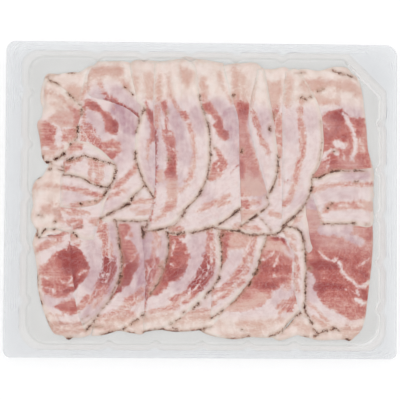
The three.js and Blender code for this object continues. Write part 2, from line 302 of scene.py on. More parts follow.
def curedMeat(plan):
    look = Finish("curedMeat")
    place = look.node("ShaderNodeTexCoord", {}, {}, "Object")
    grain = look.field("grain", "Vector")
    across = look.node("ShaderNodeSeparateXYZ", {}, {0: grain}, 0)
    loose = look.field("web")
    noises = {name: look.noise(place, *waves) for name, waves in plan["noises"].items()}
    noises["fibre"] = look.noise(grain, *plan["fibre"])
    noises["looseFibre"] = noises["fibre"] * loose

    # thin web of fat between the bundles of lean
    bend = look.node("ShaderNodeTexNoise", {}, {"Vector": place, **plan["bend"]}, 1)
    bundles = look.stretch(grain, plan["bundles"])
    cells = look.node("ShaderNodeVectorMath", {"operation": "ADD"}, {0: bundles, 1: bend})
    sockets = {"Vector": cells, "Scale": 1.0}
    wall = look.node("ShaderNodeTexVoronoi", {"feature": "DISTANCE_TO_EDGE"}, sockets)
    web = (1 - look.step(wall, *plan["webSpan"])) * loose

    # lean, with a softer edge where the film hangs clear
    paintedVeil = look.field("paintedVeil") * plan["paintedVeilShare"]
    pleats = noises["pleat"] * paintedVeil * plan["pleatWander"]
    edge = look.field("lean") + weighed(noises, plan["ragged"]) + pleats - web * plan["webWander"]
    firm = look.step(edge, *plan["firmEdge"])
    hazy = look.step(edge, *plan["hazyEdge"])
    red = (firm + (hazy - firm) * paintedVeil) * (1 - web * plan["webFade"])
    thin = 1 - look.step(edge, *plan["thinEdge"])
    depth = look.field("tone") + weighed(noises, plan["mottle"]) - thin * plan["thinFade"]
    lean = plan["faint"]
    for name, span in plan["leanSpans"].items():
        lean = look.mix(look.step(depth, *span), lean, plan[name])
    flush = look.field("blush") * (weighed(noises, plan["patchy"]) + plan["flushShare"])
    lean = look.mix(flush * plan["dustShare"], lean, plan["dust"])

    # fat, creamier beside the rind
    shade = look.step(weighed(noises, plan["fatMottle"]), *plan["fatSpan"])
    fat = look.mix(shade, plan["fat"], plan["fatShade"])
    nearRind = 1 - look.step(across, *plan["rindEdge"])
    fat = look.mix(nearRind * plan["creamShare"], fat, plan["cream"])
    fat = look.mix(flush, fat, plan["blush"])

    # both under the painted veil of light scattered by the loose film, and painted sheen streaks of the film
    # over them
    paintedPleatLight = look.step(weighed(noises, plan["paintedPleatLight"]), *plan["paintedPleatLightSpan"])
    fat = look.mix(paintedVeil, fat, look.mix(paintedPleatLight, plan["paintedVeilMilk"], plan["paintedVeilSand"]))
    paintedVeilLean = look.mix(plan["paintedVeilSandShare"] - paintedPleatLight * plan["paintedVeilSandDrop"], plan["paintedVeilTan"], plan["paintedVeilSand"])
    lean = look.mix(paintedVeil * plan["paintedVeilLeanShare"], lean, paintedVeilLean)
    colour = look.mix(red, fat, lean)
    colour = look.mix(weighed(noises, plan["paintedFilmSheen"]) + plan["paintedFilmSheenShare"], colour, plan["paintedVeilMilk"])

    # rub: a stain, a broken brown line in it and dark clumps on that
    rub = look.field("spice")
    for name, (weights, span, share) in plan["rub"].items():
        clumps = look.step(rub + weighed(noises, weights), *span)
        colour = look.mix(clumps * share, colour, plan[name])

    height = weighed(noises, plan["rise"]) + red * plan["leanRise"] + clumps * plan["clumpRise"]
    skin = {
        "Base Color": colour,
        "Roughness": weighed(noises, plan["dull"]) + plan["roughness"] + clumps * plan["clumpDull"],
        "Normal": look.node("ShaderNodeBump", {}, {**plan["bump"], "Height": height}),
        "Specular IOR Level": plan["shine"],
        "Subsurface Weight": plan["glow"],
        "Subsurface Radius": plan["glowReach"],
        "Subsurface Scale": plan["glowScale"],
    }
    return look.done(look.node("ShaderNodeBsdfPrincipled", {}, skin))


meatFinish = curedMeat(meatLook)
print("meat finish made")

# how every slice is laid; spots and widths are in pixels of the photo, other lengths in metres
layPlan = {
    "bed": 0.0007,  # top of the tray's floor
    "thick": 0.001,
    "gap": 0.00004,
    "sink": 0.00009,  # the thin edge beds this far into what lies below
    "cell": 1.26,
    "lineSpots": 200,  # along the fold and along the rind
    "drape": 16,  # rounds of smoothing where a slice bridges a step
    "roundEdge": 4.5,
    "thinnest": 0.1,  # share of the thickness left at the edge
    "mergeWithin": 1e-5,
    "smoothAngle": 35,
    "grainShift": 7.3,  # from one slice to the next
    "paintedVeilFade": 9,
    # inside this line the film lies on the meat
    "filmTouch": (
        80, 105, 86, 86, 100, 82, 124, 82, 134, 98, 150, 98, 200, 96, 240, 98, 262, 104, 290, 104, 320, 104,
        345, 104, 372, 110, 376, 200, 372, 300, 368, 320, 345, 324, 330, 322, 300, 318, 275, 319, 250, 319,
        225, 318, 212, 312, 200, 312, 170, 314, 145, 314, 110, 318, 80, 322, 60, 322, 36, 300, 36, 240,
        61, 228, 62, 168, 38, 150, 40, 118,
    ),
}
# how far the strokes of a slice's plan reach, in pixels of the photo
strokePlan = {
    "none": -9.0,  # lean or rub where no stroke is near
    "start": (4e-7, 4e-7, 1e-6),  # tone, web and share before the first stroke
    "reach": (-12, 3),
    "blend": 1.2,
    "coreWeb": 0.3,  # cores have less web than streaks
    "flushFade": 5,
    "rubMargin": 6,  # rub this far outside a slice still marks it
    "rubReach": 0.8,
}
photoSide = cameraPlan["photo"]
lastSpot = photoSide - 1.001  # just short of the last pixel
pile = np.full((photoSide, photoSide), layPlan["bed"])
slicesLaid = []


def softened(heights):
    ring = np.pad(heights, 1, mode="edge")
    rows = ring[:-2] + ring[1:-1] + ring[2:]
    return (rows[:, :-2] + rows[:, 1:-1] + rows[:, 2:]) / 9


# heights are kept at the middle of each pixel
def heightAt(heights, spots):
    x, y = np.clip(spots - 0.5, 0, lastSpot).T
    i, j = x.astype(int), y.astype(int)
    fx, fy = x - i, y - j
    upper = heights[j, i] * (1 - fx) + heights[j, i + 1] * fx
    lower = heights[j + 1, i] * (1 - fx) + heights[j + 1, i + 1] * fx
    return upper * (1 - fy) + lower * fy


# lean, its tone and flushed fat from the strokes in a slice's plan, and the rub of every slice near by
def meatFields(spots, plan):
    lean = np.full(len(spots), strokePlan["none"])
    tone, web, share = (np.full(len(spots), start) for start in strokePlan["start"])
    for kind in ("cores", "streaks"):
        for stroke in plan.get(kind, ()):
            if kind == "cores":
                reach = patchDepth(spots, pairs(stroke[1:]))
            else:
                reach = stroke[1] / 2 - lineDistance(spots, pairs(stroke[2:]))
            weight = np.exp(np.clip(reach, *strokePlan["reach"]) / strokePlan["blend"])
            tone += weight * stroke[0]
            web += weight * (strokePlan["coreWeb"] if kind == "cores" else 1)
            share += weight
            lean = np.maximum(lean, reach)
    tone, web = tone / share, web / share
    for stroke in plan.get("deep", ()):
        away = lineDistance(spots, pairs(stroke[2:]))
        tone += stroke[0] * np.exp(-(away / (stroke[1] / 2)) ** 2)
    for stroke in plan.get("veins", ()):
        lean = np.minimum(lean, lineDistance(spots, pairs(stroke[1:])) - stroke[0] / 2)
    blush = np.zeros(len(spots))
    for stroke in plan.get("blush", ()):
        away = np.maximum(lineDistance(spots, pairs(stroke[2:])) - stroke[1] / 2, 0)
        blush = np.maximum(blush, stroke[0] * np.exp(-(away / strokePlan["flushFade"]) ** 2))
    spice = np.full(len(spots), strokePlan["none"])
    low, high = spots.min(0) - strokePlan["rubMargin"], spots.max(0) + strokePlan["rubMargin"]
    for stroke in rubMarks:
        line = pairs(stroke[1:])
        if (line.max(0) > low).all() and (line.min(0) < high).all():
            reach = stroke[0] / 2 + strokePlan["rubReach"] - lineDistance(spots, line)
            spice = np.maximum(spice, reach)
    return {"lean": lean, "tone": tone, "web": web, "blush": blush, "spice": spice}


# one slice: a grid stretched between its fold and its rind, laid on the pile and given its thickness
def laySlice(name, node, plan):
    global pile
    fold, rind = pairs(plan["fold"]), pairs(plan["rind"])
    foldLine, foldRun = smoothLine(fold, layPlan["lineSpots"])
    rindLine, rindRun = smoothLine(np.vstack([fold[:1], rind[::-1], fold[-1:]]), layPlan["lineSpots"])
    rows = int(max(foldRun, rindRun) / layPlan["cell"])
    columns = int(np.linalg.norm(rindLine - foldLine, axis=1).max() / layPlan["cell"])

    piece, corners = newGrid(name, columns, rows)
    mesh = piece.data
    u, v = corners.T
    marks = np.linspace(0, 1, layPlan["lineSpots"])
    leftSpots = np.column_stack([np.interp(v, marks, foldLine[:, k]) for k in (0, 1)])
    rightSpots = np.column_stack([np.interp(v, marks, rindLine[:, k]) for k in (0, 1)])
    spots = leftSpots + (rightSpots - leftSpots) * u[:, None]

    # the bed is what lies below, bridged smoothly, and the slice thins out to meet it at its edge
    touch = softened(pile)
    bed = pile
    for turn in range(layPlan["drape"]):
        bed = np.maximum(pile, softened(bed))
    outline = np.vstack([foldLine[::2], rindLine[::-2]])
    ring = np.vstack([outline, outline[:1]])

    def topAt(place):
        plump = 1 - (1 - np.clip(lineDistance(place, ring) / layPlan["roundEdge"], 0, 1)) ** 2
        edge = heightAt(touch, place) - layPlan["sink"]
        return edge + (heightAt(bed, place) + layPlan["thick"] - edge) * plump, plump

    level, plump = topAt(spots)
    mesh.vertices.foreach_set("co", np.column_stack([photoSpot(spots), level]).ravel())
    low, high = np.floor(outline.min(0)).astype(int), np.ceil(outline.max(0)).astype(int)
    cellX, cellY = np.meshgrid(np.arange(low[0], high[0]), np.arange(low[1], high[1]))
    cells = np.column_stack([cellX.ravel(), cellY.ravel()])
    cells = cells[patchDepth(cells + 0.5, outline) > 0]
    covered = (cells[:, 1], cells[:, 0])
    pile = pile.copy()
    pile[covered] = np.maximum(pile[covered], topAt(cells + 0.5)[0] + layPlan["gap"])

    fields = meatFields(spots, plan)
    # painted veil of light scattered by the film, outside the line where the film lies on the meat
    touched = patchDepth(spots, pairs(layPlan["filmTouch"]))
    fields["paintedVeil"] = np.clip(0.5 - touched / layPlan["paintedVeilFade"], 0, 1)
    for field, values in fields.items():
        mesh.attributes.new(field, "FLOAT", "POINT").data.foreach_set("value", values.astype(np.float32))
    across = lineDistance(spots, rindLine[::2])
    shift = np.full(len(v), layPlan["grainShift"] * len(slicesLaid))
    run = np.column_stack([across, v * rindRun, shift])
    grain = mesh.attributes.new("grain", "FLOAT_VECTOR", "POINT")
    grain.data.foreach_set("vector", run.astype(np.float32).ravel())
    group = piece.vertex_groups.new(name="plump")
    for index, weight in enumerate(plump):
        group.add([index], max(weight, layPlan["thinnest"]), "REPLACE")

    # its two ends are points, where the spots of the grid meet
    closeSheet(piece, layPlan["thick"], layPlan, meatFinish, group.name)
    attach(piece, "root")
    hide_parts(node)
    slicesLaid.append(piece)


# the slices, lowest first: fold and rind are the outline, streaks (tone, width, spots) and cores (tone,
# spots) are lean, deep (tone, width, spots) shades it, veins (width, spots) are fat in it, blush (share,
# width, spots) is flushed fat and spice (width, spots) is the dark rub, fainter where its width is under 0;
# a few thin streaks down folds are painted fold shade, and one faint spice line is the painted shade of a
# film wrinkle
slicePlans = [
    ("rightSlice2", "right_slice_2", {
        "fold": (303, 182, 305, 206, 303, 250, 302, 300, 290, 325, 272, 338),
        "rind": (
            280, 341.5, 290, 339, 298, 336, 304, 337.5, 311, 339, 318, 341, 335, 341, 346, 340.5, 351, 342,
            357, 337, 362, 332, 365, 325, 367, 317, 369, 300, 371, 284, 373, 266, 374.5, 240, 373, 208,
            370, 188,
        ),
        "cores": [
            (0.58, 303, 234, 314, 230, 323, 231, 330, 235, 340, 236, 347, 234.5, 352, 230, 354, 225, 375,
             225, 375, 248, 374, 264, 372, 280, 370, 300, 367, 318, 362, 319.5, 357, 321, 351, 320.5, 346,
             318, 342, 315, 336, 312, 330, 308.5, 325, 305, 321, 301, 317, 296, 318, 292, 314, 290, 314,
             285, 317, 282, 315, 278, 312, 273, 307, 271, 303, 262),
            (0.26, 304, 208, 316, 210, 322, 212, 321, 216, 324, 222, 322, 230, 312, 234, 303, 236),
        ],
        "streaks": [
            (0.3, 4, 309, 303, 316, 309, 323, 317, 330, 323), (0.32, 5, 314, 318, 322, 323, 331, 328),
            (0.6, 6, 345, 329.5, 356, 329.5, 363, 329), (0.32, 3.5, 345, 336, 353, 335.5, 359, 334),
            (0.3, 8, 298, 325, 309, 330),
        ],
        "deep": [
            (-0.2, 16, 324, 241, 346, 244), (0.1, 7, 314, 241, 315, 246), (-0.24, 13, 360, 236, 368, 247),
            (-0.2, 10, 330, 229, 364, 229), (0.14, 8, 312, 272, 318, 278), (0.25, 9, 312, 265, 317, 266),
            (-0.18, 9, 304, 251, 311, 257), (0.32, 9, 321, 264, 329, 266, 337, 266),
            (0.36, 8, 316, 287, 323, 288), (0.26, 6, 326, 286, 336, 287, 345, 289),
            (0.1, 9, 332, 278, 334, 280), (0.12, 6, 341, 260, 345, 261), (0.1, 8, 355, 272, 368, 276),
            (-0.16, 18, 332, 305, 356, 312), (0.14, 8, 366, 292, 366, 300), (-0.1, 7, 345, 268, 352, 274),
        ],
        "veins": [
            (0.7, 320, 252, 325, 257, 330, 260, 338, 258.5), (1.8, 332, 260.5, 337, 260.5),
            (2.4, 340, 262, 342, 267, 344, 273, 349, 278, 354, 282, 358, 286), (3.4, 359, 287, 365, 286.5),
            (3, 366, 286, 371, 282), (3.4, 358, 291, 359, 294), (3.2, 357, 300, 362, 302),
            (2.8, 363, 304, 368, 303), (8, 350, 237, 361, 242), (11, 324, 229.5, 348, 230.5),
            (0.4, 345, 289, 352, 291, 357, 294), (0.2, 370, 259, 364, 264, 358, 267),
        ],
        "blush": [
            (0.5, 12, 352, 234, 362, 244), (0.3, 8, 350, 229, 366, 229), (0.5, 8, 310, 276, 312, 296),
            (0.3, 8, 372, 240, 372, 256), (0.75, 10, 322, 241, 350, 244), (0.8, 13, 311, 208, 314, 230),
        ],
        "spice": [
            (2.6, 308.5, 268.5, 311, 268.5), (1, 310, 320, 313.5, 324.5), (2, 314.5, 330, 318, 332.8),
            (1.2, 315, 336.5, 319, 335), (0.6, 319, 334.5, 325, 331.5), (1.8, 326, 331.5, 328, 331),
            (0.6, 329, 331, 334, 330), (0.4, 334, 328, 340, 331), (2.2, 347, 340.5, 351, 341.5),
            (1, 305, 337.5, 309, 337.8),
        ],
    }),
    ("frontSlice8", "front_slice_8", {
        "fold": (222, 214, 214, 260, 203, 310, 199.5, 331),
        "rind": (
            207, 335, 216, 337.5, 225, 339, 233, 340, 241, 339.5, 250, 338, 270, 338.5, 280, 334, 290, 323,
            303, 306, 307, 275, 303, 240, 294, 214,
        ),
        "cores": [
            (0.55, 262, 234, 276, 236, 284, 237, 287, 241, 289, 247, 292, 254, 294, 260, 294, 270, 290,
             276, 288, 281, 283, 286, 280, 289, 276, 290.5, 273, 291, 273.5, 296, 272, 299, 267, 301, 265,
             304, 260, 307, 255, 309, 246, 311, 240, 312, 230, 311.5, 222, 312, 211, 312, 225, 296, 245,
             276, 256, 256),
        ],
        "streaks": [
            (0.38, 7, 284, 303, 280, 308), (0.36, 5, 291, 300, 287, 307, 280, 313),
            (0.45, 8, 298, 295, 294, 303, 290, 309), (0.3, 6, 280, 320, 265, 324, 250, 325, 240, 325),
            (0.28, 4.5, 266, 329, 256, 331, 246, 331.5), (0.2, 5, 212, 322, 220, 325),
            (0.2, 3, 224, 335, 240, 336, 262, 334), (0.36, 8, 290, 278, 287, 288),
        ],
        "deep": [
            (-0.34, 16, 268, 245, 278, 246), (-0.2, 9, 284, 248, 288, 254),
            (0.18, 8, 261, 267, 272, 268, 277, 269), (0.18, 8, 266, 286, 275, 286.5),
            (0.06, 5, 253, 282, 260, 281), (-0.36, 13, 224, 311, 245, 306, 262, 300),
            (-0.14, 6, 252, 293, 270, 295), (0.1, 8, 284, 268, 290, 272),
            (0.8, 8, 277, 236, 282, 233, 286, 239),
        ],
        "veins": [
            (1.4, 261, 260, 267, 259, 271, 256, 274, 253), (0.8, 274.5, 267, 277, 261, 279.5, 255),
            (1.4, 274, 275, 275, 276), (2, 284, 249, 288, 253, 293, 257),
        ],
        "blush": [(0.35, 10, 286, 290, 280, 298), (0.4, 6, 288, 250, 294, 256)],
        "spice": [
            (1.5, 301, 313, 296, 318), (2, 294.5, 320, 289.5, 325), (1.1, 289, 326, 286.5, 328),
            (2, 283, 330, 283, 332.5), (1.6, 281, 332.5, 275, 335.5), (1.2, 274, 335.5, 271, 336.5),
            (0.9, 242, 330.3, 243, 330.6), (0.6, 200, 332.5, 205, 335, 214, 338),
            (0.6, 228, 339.5, 240, 339.5), (0.8, 243, 338.5, 250, 337),
        ],
    }),
    ("frontSlice1", "front_slice_1", {
        "fold": (88, 226, 96, 270, 98, 310, 90, 335.5),
        "rind": (
            81, 338.5, 72, 338.5, 69, 340.5, 66, 340, 62, 336.5, 57, 336, 53, 334, 49, 328, 46, 321,
            42, 310, 38.5, 297, 36.5, 286, 36, 270, 34, 256, 32, 240, 44, 226,
        ),
        "cores": [
            (0.36, 34, 247, 42, 241, 52, 240, 63, 240, 56, 245, 48, 248, 42, 251, 34, 254),
            (0.45, 46, 235, 52, 233, 60, 231, 70, 232, 63, 236, 60, 240, 52, 239),
            (0.47, 56, 251, 60, 250, 63, 248.5, 66, 250, 67, 246, 69, 241, 76, 240, 84, 250, 84, 290, 74,
             292, 70, 294, 67, 297, 62, 298, 57, 300, 50, 297, 44, 294, 41, 291, 40, 286, 40, 281, 37, 277,
             36, 271, 39, 265.5, 46, 262.5, 48, 259, 50, 256, 54, 253.5),
            (0.54, 53, 307, 60, 302, 68, 299.5, 84, 296, 84, 313, 70, 315.5, 63, 314, 57, 310),
        ],
        "streaks": [
            (0.28, 3.5, 50, 314, 56, 316, 62, 316), (0.7, 5.5, 52, 325.5, 66, 325.5, 82, 325),
            (0.6, 5, 51, 331, 66, 331.5, 84, 330),
        ],
        "deep": [
            (0.42, 12, 61, 256, 67, 260, 70, 266), (0.2, 10, 64, 268, 70, 274),
            (0.22, 7, 68, 244, 68, 252), (0.12, 10, 50, 290, 64, 292), (0.2, 6, 66, 290, 73, 291),
            (0.12, 9, 62, 282, 68, 284), (-0.08, 14, 44, 272, 55, 270),
        ],
        "blush": [(0.4, 8, 48, 300, 66, 300)],
        "veins": [
            (1.6, 37, 278, 42, 276.5, 47, 278.5), (0.9, 40, 286.5, 45, 288, 50, 289),
            (1, 71, 278, 68, 284, 70, 287), (2.2, 69.5, 285, 72, 286), (0.4, 60, 281, 64, 283),
            (0.6, 52, 290, 54, 293), (0.7, 60, 291, 64, 289),
        ],
        "spice": [
            (0.9, 36.5, 276, 37, 286), (1.2, 38, 294, 38.3, 296), (0.9, 39, 300, 41, 305),
            (0.9, 45, 318, 46.5, 322), (1.1, 47.5, 325, 48, 327), (3, 66.5, 339.8, 69.5, 339.8),
        ],
    }),
    ("frontSlice3", "front_slice_3", {
        "fold": (106, 214, 100, 280, 91, 337),
        "rind": (
            102, 336, 111, 333.5, 118, 331.5, 126, 333, 133, 334, 144, 333.5, 156, 310, 162, 284, 164, 250,
            158, 214,
        ),
        "cores": [
            (0.56, 112, 224, 123, 222, 130, 224, 131, 228, 129, 231, 127.5, 235, 125.5, 237.5, 126.5,
             239.5, 130, 240, 133, 244, 136, 248, 137, 251, 135.5, 254, 139, 254, 140, 258, 137.5, 262,
             139.5, 264, 137, 270, 134, 273, 132.5, 276, 132.5, 279, 131, 282, 129, 286, 125, 287, 122.5,
             288, 121.5, 292, 117, 293, 115, 296, 112, 299, 106, 302, 104, 290, 112, 260, 114, 240),
            (0.34, 128, 234, 131, 231.5, 134, 234, 133, 237, 129, 237),
        ],
        "streaks": [
            (0.42, 7, 142, 290, 136, 296, 127, 301), (0.34, 5, 142, 298, 134, 303, 128, 306),
            (0.28, 6, 124, 307, 117, 313, 110, 317), (0.3, 5, 128, 311, 120, 318, 112, 322),
            (0.32, 7, 116, 317, 106, 321), (0.34, 8, 122, 318, 132, 316),
            (0.38, 5, 98, 320, 107, 316, 114, 312), (0.45, 6, 97, 326, 104, 329, 113, 327),
            (0.26, 5, 139, 321, 130, 326), (0.7, 6, 121, 280, 117, 290),
        ],
        "deep": [
            (0.42, 9, 135, 267, 130, 273, 127, 279), (0.2, 9, 128, 268, 124, 278),
            (0.32, 6, 121, 281, 127, 282.5), (0.34, 9, 117, 285, 111, 297), (0.3, 6, 121, 284, 118, 292),
            (0.2, 5, 123, 253, 124, 264), (0.2, 9, 124, 262, 130, 268), (-0.06, 10, 127, 245, 132, 252),
            (-0.04, 9, 122, 228, 126, 232),
        ],
        "veins": [
            (0.7, 127, 236, 131, 230.5, 136, 232), (0.4, 124, 265, 132, 261), (0.7, 135, 255, 138, 252),
        ],
        "blush": [
            (0.6, 10, 137, 228, 141, 258), (0.45, 9, 139, 268, 136, 280, 128, 290),
            (0.9, 8, 142, 262, 143, 280, 143, 292), (0.4, 16, 124, 228, 128, 246, 130, 255),
        ],
        "spice": [
            (1.7, 133, 322, 137, 320), (1.2, 141, 317, 143, 314.5), (1, 130, 325, 131, 324),
            (1.5, 123, 330, 125, 328.5), (1.3, 101, 335.5, 106, 334.5, 113, 332.5),
            (1.6, 128, 332.5, 133, 334), (0.7, 114, 332, 120, 331),
        ],
    }),
    ("frontSlice6", "front_slice_6", {
        "fold": (150, 290, 143, 332),
        "rind": (
            157, 331, 165, 330.5, 174, 332.5, 195, 331.5, 206, 329, 214, 325, 230, 300, 232, 265, 215, 262,
        ),
        "streaks": [
            (0.4, 5, 187, 314, 196, 312, 211, 311), (0.42, 6.5, 183, 319.5, 196, 318, 209, 317),
            (0.28, 4, 172, 325, 190, 322),
        ],
        "spice": [
            (2, 171, 332, 178, 332.3), (0.8, 160, 330.5, 171, 332), (0.6, 180, 332, 190, 331.5),
            (2, 192, 331, 200, 330.5), (1.2, 204, 329.3, 205, 329), (0.7, 205, 329, 211, 327.5),
            (0.5, 173, 328.5, 177, 329.5),
        ],
    }),
    ("frontSlice7", "front_slice_7", {
        "fold": (213, 214, 212, 270, 211, 320),
        "rind": (222, 311.5, 234, 302, 247, 286, 256, 273, 262, 252, 267.5, 236, 266, 214),
        "cores": [
            (0.52, 214, 228, 226, 229, 234, 233, 233, 238, 231, 243, 235, 246, 228, 250, 229, 255, 227,
             259, 224, 264, 219, 266, 216, 250),
            (0.22, 226, 231, 240, 232, 253, 235, 250, 243, 245, 248, 236, 250, 228, 250),
        ],
        "streaks": [
            (0.36, 7, 256, 236, 253, 246, 250, 254), (0.4, 7.5, 247, 254, 246, 262, 242, 268),
            (0.42, 8, 240, 270, 236, 277, 231, 282), (0.4, 6.5, 229, 284, 222, 289, 212, 293),
            (0.3, 4, 252, 252, 251, 262), (0.36, 4.5, 249, 268, 244, 276), (0.4, 6, 243, 281, 238, 286),
            (0.34, 5.5, 232, 289, 228, 294, 219, 299), (0.3, 4, 217, 300, 212, 306),
        ],
        "deep": [(0.16, 8, 225, 254, 223, 262), (0.12, 8, 222, 234, 223, 246)],
        "blush": [(0.25, 10, 234, 258, 226, 276), (0.25, 6, 254, 262, 244, 284)],
        "spice": [
            (1.6, 223.5, 231, 223, 236), (0.9, 266.5, 238, 266, 243), (1.2, 265.5, 244, 265, 247),
            (1.2, 262.3, 250.5, 262.3, 252.5), (0.7, 261, 258, 260, 264), (3.4, 257.5, 270, 255.5, 274),
            (1, 252, 281, 249, 286.5), (0.4, 247, 289, 240, 296, 236, 301), (1, 235, 302, 231, 305),
            (1.4, 223, 311, 221, 312), (1, 220, 313, 211, 319),
        ],
    }),
    ("frontSlice5", "front_slice_5", {
        "fold": (148, 216, 146, 270, 144.5, 300, 142.5, 333),
        "rind": (
            157, 330.5, 172, 325, 183, 317, 193, 308, 209, 292, 218, 279, 222, 262, 220.5, 240, 214, 216,
        ),
        "cores": [
            (0.62, 160, 234, 176, 233, 183, 233, 187, 235, 184, 238, 178.5, 238.5, 180, 241, 184, 243, 187,
             247, 189, 250, 187, 253, 191, 253, 190.5, 258, 188.5, 262, 188, 267, 186, 270, 184, 274, 183,
             277, 180, 278, 180, 280, 175, 281.5, 171, 282.5, 168, 282, 168.5, 286, 167, 289, 163, 291,
             161, 293.5, 157, 295, 152, 295.5, 147, 299, 143, 290, 150, 262),
        ],
        "streaks": [
            (0.42, 6.5, 209, 226, 210, 236, 211, 241), (0.42, 5.5, 208, 242, 209, 256),
            (0.75, 8.5, 207, 257, 206, 264), (0.9, 8.5, 205, 265, 202, 272), (0.9, 9, 201, 273, 198, 279),
            (0.95, 9.5, 197, 280, 193, 285), (0.64, 7.5, 192, 286, 189, 291),
            (0.44, 6, 187, 292, 178, 297, 172, 300), (0.32, 5, 178, 301, 168, 307),
            (0.36, 4, 214, 243, 214, 256), (0.5, 4, 215, 258, 213, 266), (0.8, 5, 212, 268, 210, 276),
            (0.84, 6, 208, 278, 205, 284), (0.85, 7, 203, 283, 200, 288), (0.5, 5.5, 198, 289, 193, 295),
            (0.36, 5, 191, 297, 184, 303), (0.3, 5, 178, 307, 166, 310, 150, 312),
            # the last streak on this line and the one on the next, down the fold near x 145, are painted
            # fold shade, not lean
            (0.26, 4.5, 172, 315, 158, 318, 146, 320), (0.95, 3, 146, 283, 145.5, 292, 145.3, 301),
            (0.5, 2, 145, 302, 145, 312),
        ],
        "deep": [
            (0.28, 7, 167, 259, 166, 268), (0.34, 7, 186, 269, 179, 272, 175, 276),
            (0.14, 9, 163, 278, 170, 280), (-0.08, 12, 176, 246, 180, 252), (-0.06, 8, 156, 291, 163, 288),
        ],
        "veins": [
            (1.1, 175, 242, 173, 249, 171.5, 255), (0.8, 170, 264, 174, 266),
            (0.5, 206, 262, 210, 268, 207, 274), (0.5, 200, 281, 204, 276, 208, 276),
            (0.8, 190, 289, 188, 299), (0.7, 203, 272, 200, 277), (0.4, 198, 286, 193, 291),
        ],
        "blush": [
            (0.5, 12, 200, 240, 197, 256, 191, 270), (0.6, 8, 186, 277, 180, 285),
            (0.5, 5, 216, 272, 210, 286),
        ],
        "spice": [
            (1.2, 219, 231, 220, 240), (1, 221, 243, 222, 252), (1.8, 222, 256, 222, 261),
            (1, 222, 264, 221, 271), (1.8, 219, 276, 218.5, 280), (1, 217, 282, 213, 288),
            (1.2, 211, 290.5, 207, 294.5), (0.9, 206, 297, 205, 298), (1.7, 199, 304, 196, 306),
            (2.2, 194.5, 307.5, 193, 309), (0.9, 183, 312.3, 184.5, 312.3), (1, 180, 319, 176, 321.5),
            (1.4, 171, 324.5, 172, 324), (2, 145, 333, 150, 332, 156, 331), (0.8, 156, 331, 162, 330),
        ],
    }),
    ("frontSlice4", "front_slice_4", {
        "fold": (140.5, 212, 142, 240, 144, 262, 146.5, 300),
        "rind": (152, 293, 158, 284, 165, 267, 169, 248, 168.5, 234, 164, 229, 156, 212),
        "cores": [
            (0.74, 144, 260, 151, 258, 159, 257, 160.5, 263, 158, 271, 155, 279, 150, 286, 145, 285, 143,
             270),
        ],
        "streaks": [
            (0.36, 6.5, 155, 230, 157, 238), (0.34, 4, 153, 242, 154, 252, 154, 260),
            (0.36, 4.5, 158, 241, 159, 246), (0.55, 4.5, 158, 259, 156, 266), (0.6, 5, 155, 267, 154, 273),
            (0.52, 5.5, 147, 272, 146, 278), (0.75, 4.5, 148.5, 277, 148, 285),
            (0.75, 3.4, 146.5, 284, 147.5, 298), (0.42, 4.5, 152, 273, 151, 279),
            (0.36, 6, 162, 262, 160, 272, 156, 280, 151, 288), (0.32, 5, 152, 284, 149, 294),
        ],
        "veins": [
            (0.8, 141, 277, 145, 270, 146.5, 264, 149, 270.5), (0.4, 149, 270.5, 153, 268, 155, 259),
            (0.7, 149, 271, 147, 280, 146, 284), (0.6, 152, 272, 151, 281), (0.8, 153, 246, 158, 242),
            (0.9, 157, 258, 163, 246),
        ],
        "blush": [
            (0.75, 10, 146, 236, 148, 250, 148, 258), (0.45, 7, 164, 240, 165, 252),
            (0.75, 7, 164, 258, 161, 268, 156, 279, 151, 290), (0.3, 10, 150, 264, 150, 282),
        ],
        "spice": [
            (3.8, 142, 227, 143, 235), (1.4, 147, 223, 146.5, 228), (1.1, 144, 231.5, 152, 230.5),
            (0.9, 166, 231.5, 168, 233), (1.6, 168, 233, 168.5, 238), (0.9, 168.8, 242, 168.5, 254),
            (1.8, 167.5, 256, 165.5, 263), (0.5, 164, 268, 158, 284, 151, 293),
            (1.1, 159, 266.3, 161, 266.3), (1.2, 150, 292, 151, 294),
        ],
    }),
    ("frontSlice2", "front_slice_2", {
        "fold": (70, 222, 69.5, 243, 70, 258, 71, 270, 73, 284, 74.5, 300, 78, 317, 85, 331.5),
        "rind": (
            93, 321, 101, 311.5, 108, 302, 115, 292, 119, 282, 122, 270, 122, 260, 120, 246, 118, 232,
            114, 214,
        ),
        "cores": [
            (0.74, 64, 247, 71, 245.5, 76, 246, 80, 249, 83, 253, 85.5, 257, 85, 260, 88, 262, 89, 268, 88,
             273, 86, 277, 83, 280, 81, 283, 78, 287, 75, 291, 66, 291),
            (0.34, 66, 234, 74, 234, 80, 237, 78, 240, 70, 242),
        ],
        "streaks": [
            (0.38, 7, 104, 226, 105, 240, 105, 254), (1.05, 8, 106, 260, 106, 264, 105, 273),
            (1, 8.5, 103, 276, 101, 282), (0.5, 7.5, 99, 284, 95, 296), (0.36, 6, 92, 299, 90, 303),
            (0.4, 7, 87, 298, 82, 306, 76, 310), (0.34, 3.5, 111, 244, 111.5, 257),
            (1, 6, 114, 259, 113.5, 270), (1.05, 6, 112.5, 271, 111, 278), (1, 6.4, 110, 277, 107, 283),
            (0.5, 5, 106, 284, 104, 294), (0.34, 5, 102, 295, 97, 304), (0.3, 4, 96, 303, 93, 308),
            (0.34, 4, 75, 243, 78, 245, 80, 242), (0.4, 7, 99, 222, 101, 236),
        ],
        "deep": [
            (0.3, 9, 71, 254, 73, 268), (0.36, 9, 73, 280, 74, 288), (-0.16, 9, 80, 272, 86, 272),
            (0.1, 6, 80, 262, 86, 264),
        ],
        "veins": [
            (0.9, 101, 276, 105, 274, 109, 275), (0.8, 106, 283, 108, 277), (0.8, 103, 248, 108, 253),
            (0.8, 94, 296, 98, 289), (0.7, 79, 275, 86, 270),
        ],
        "blush": [
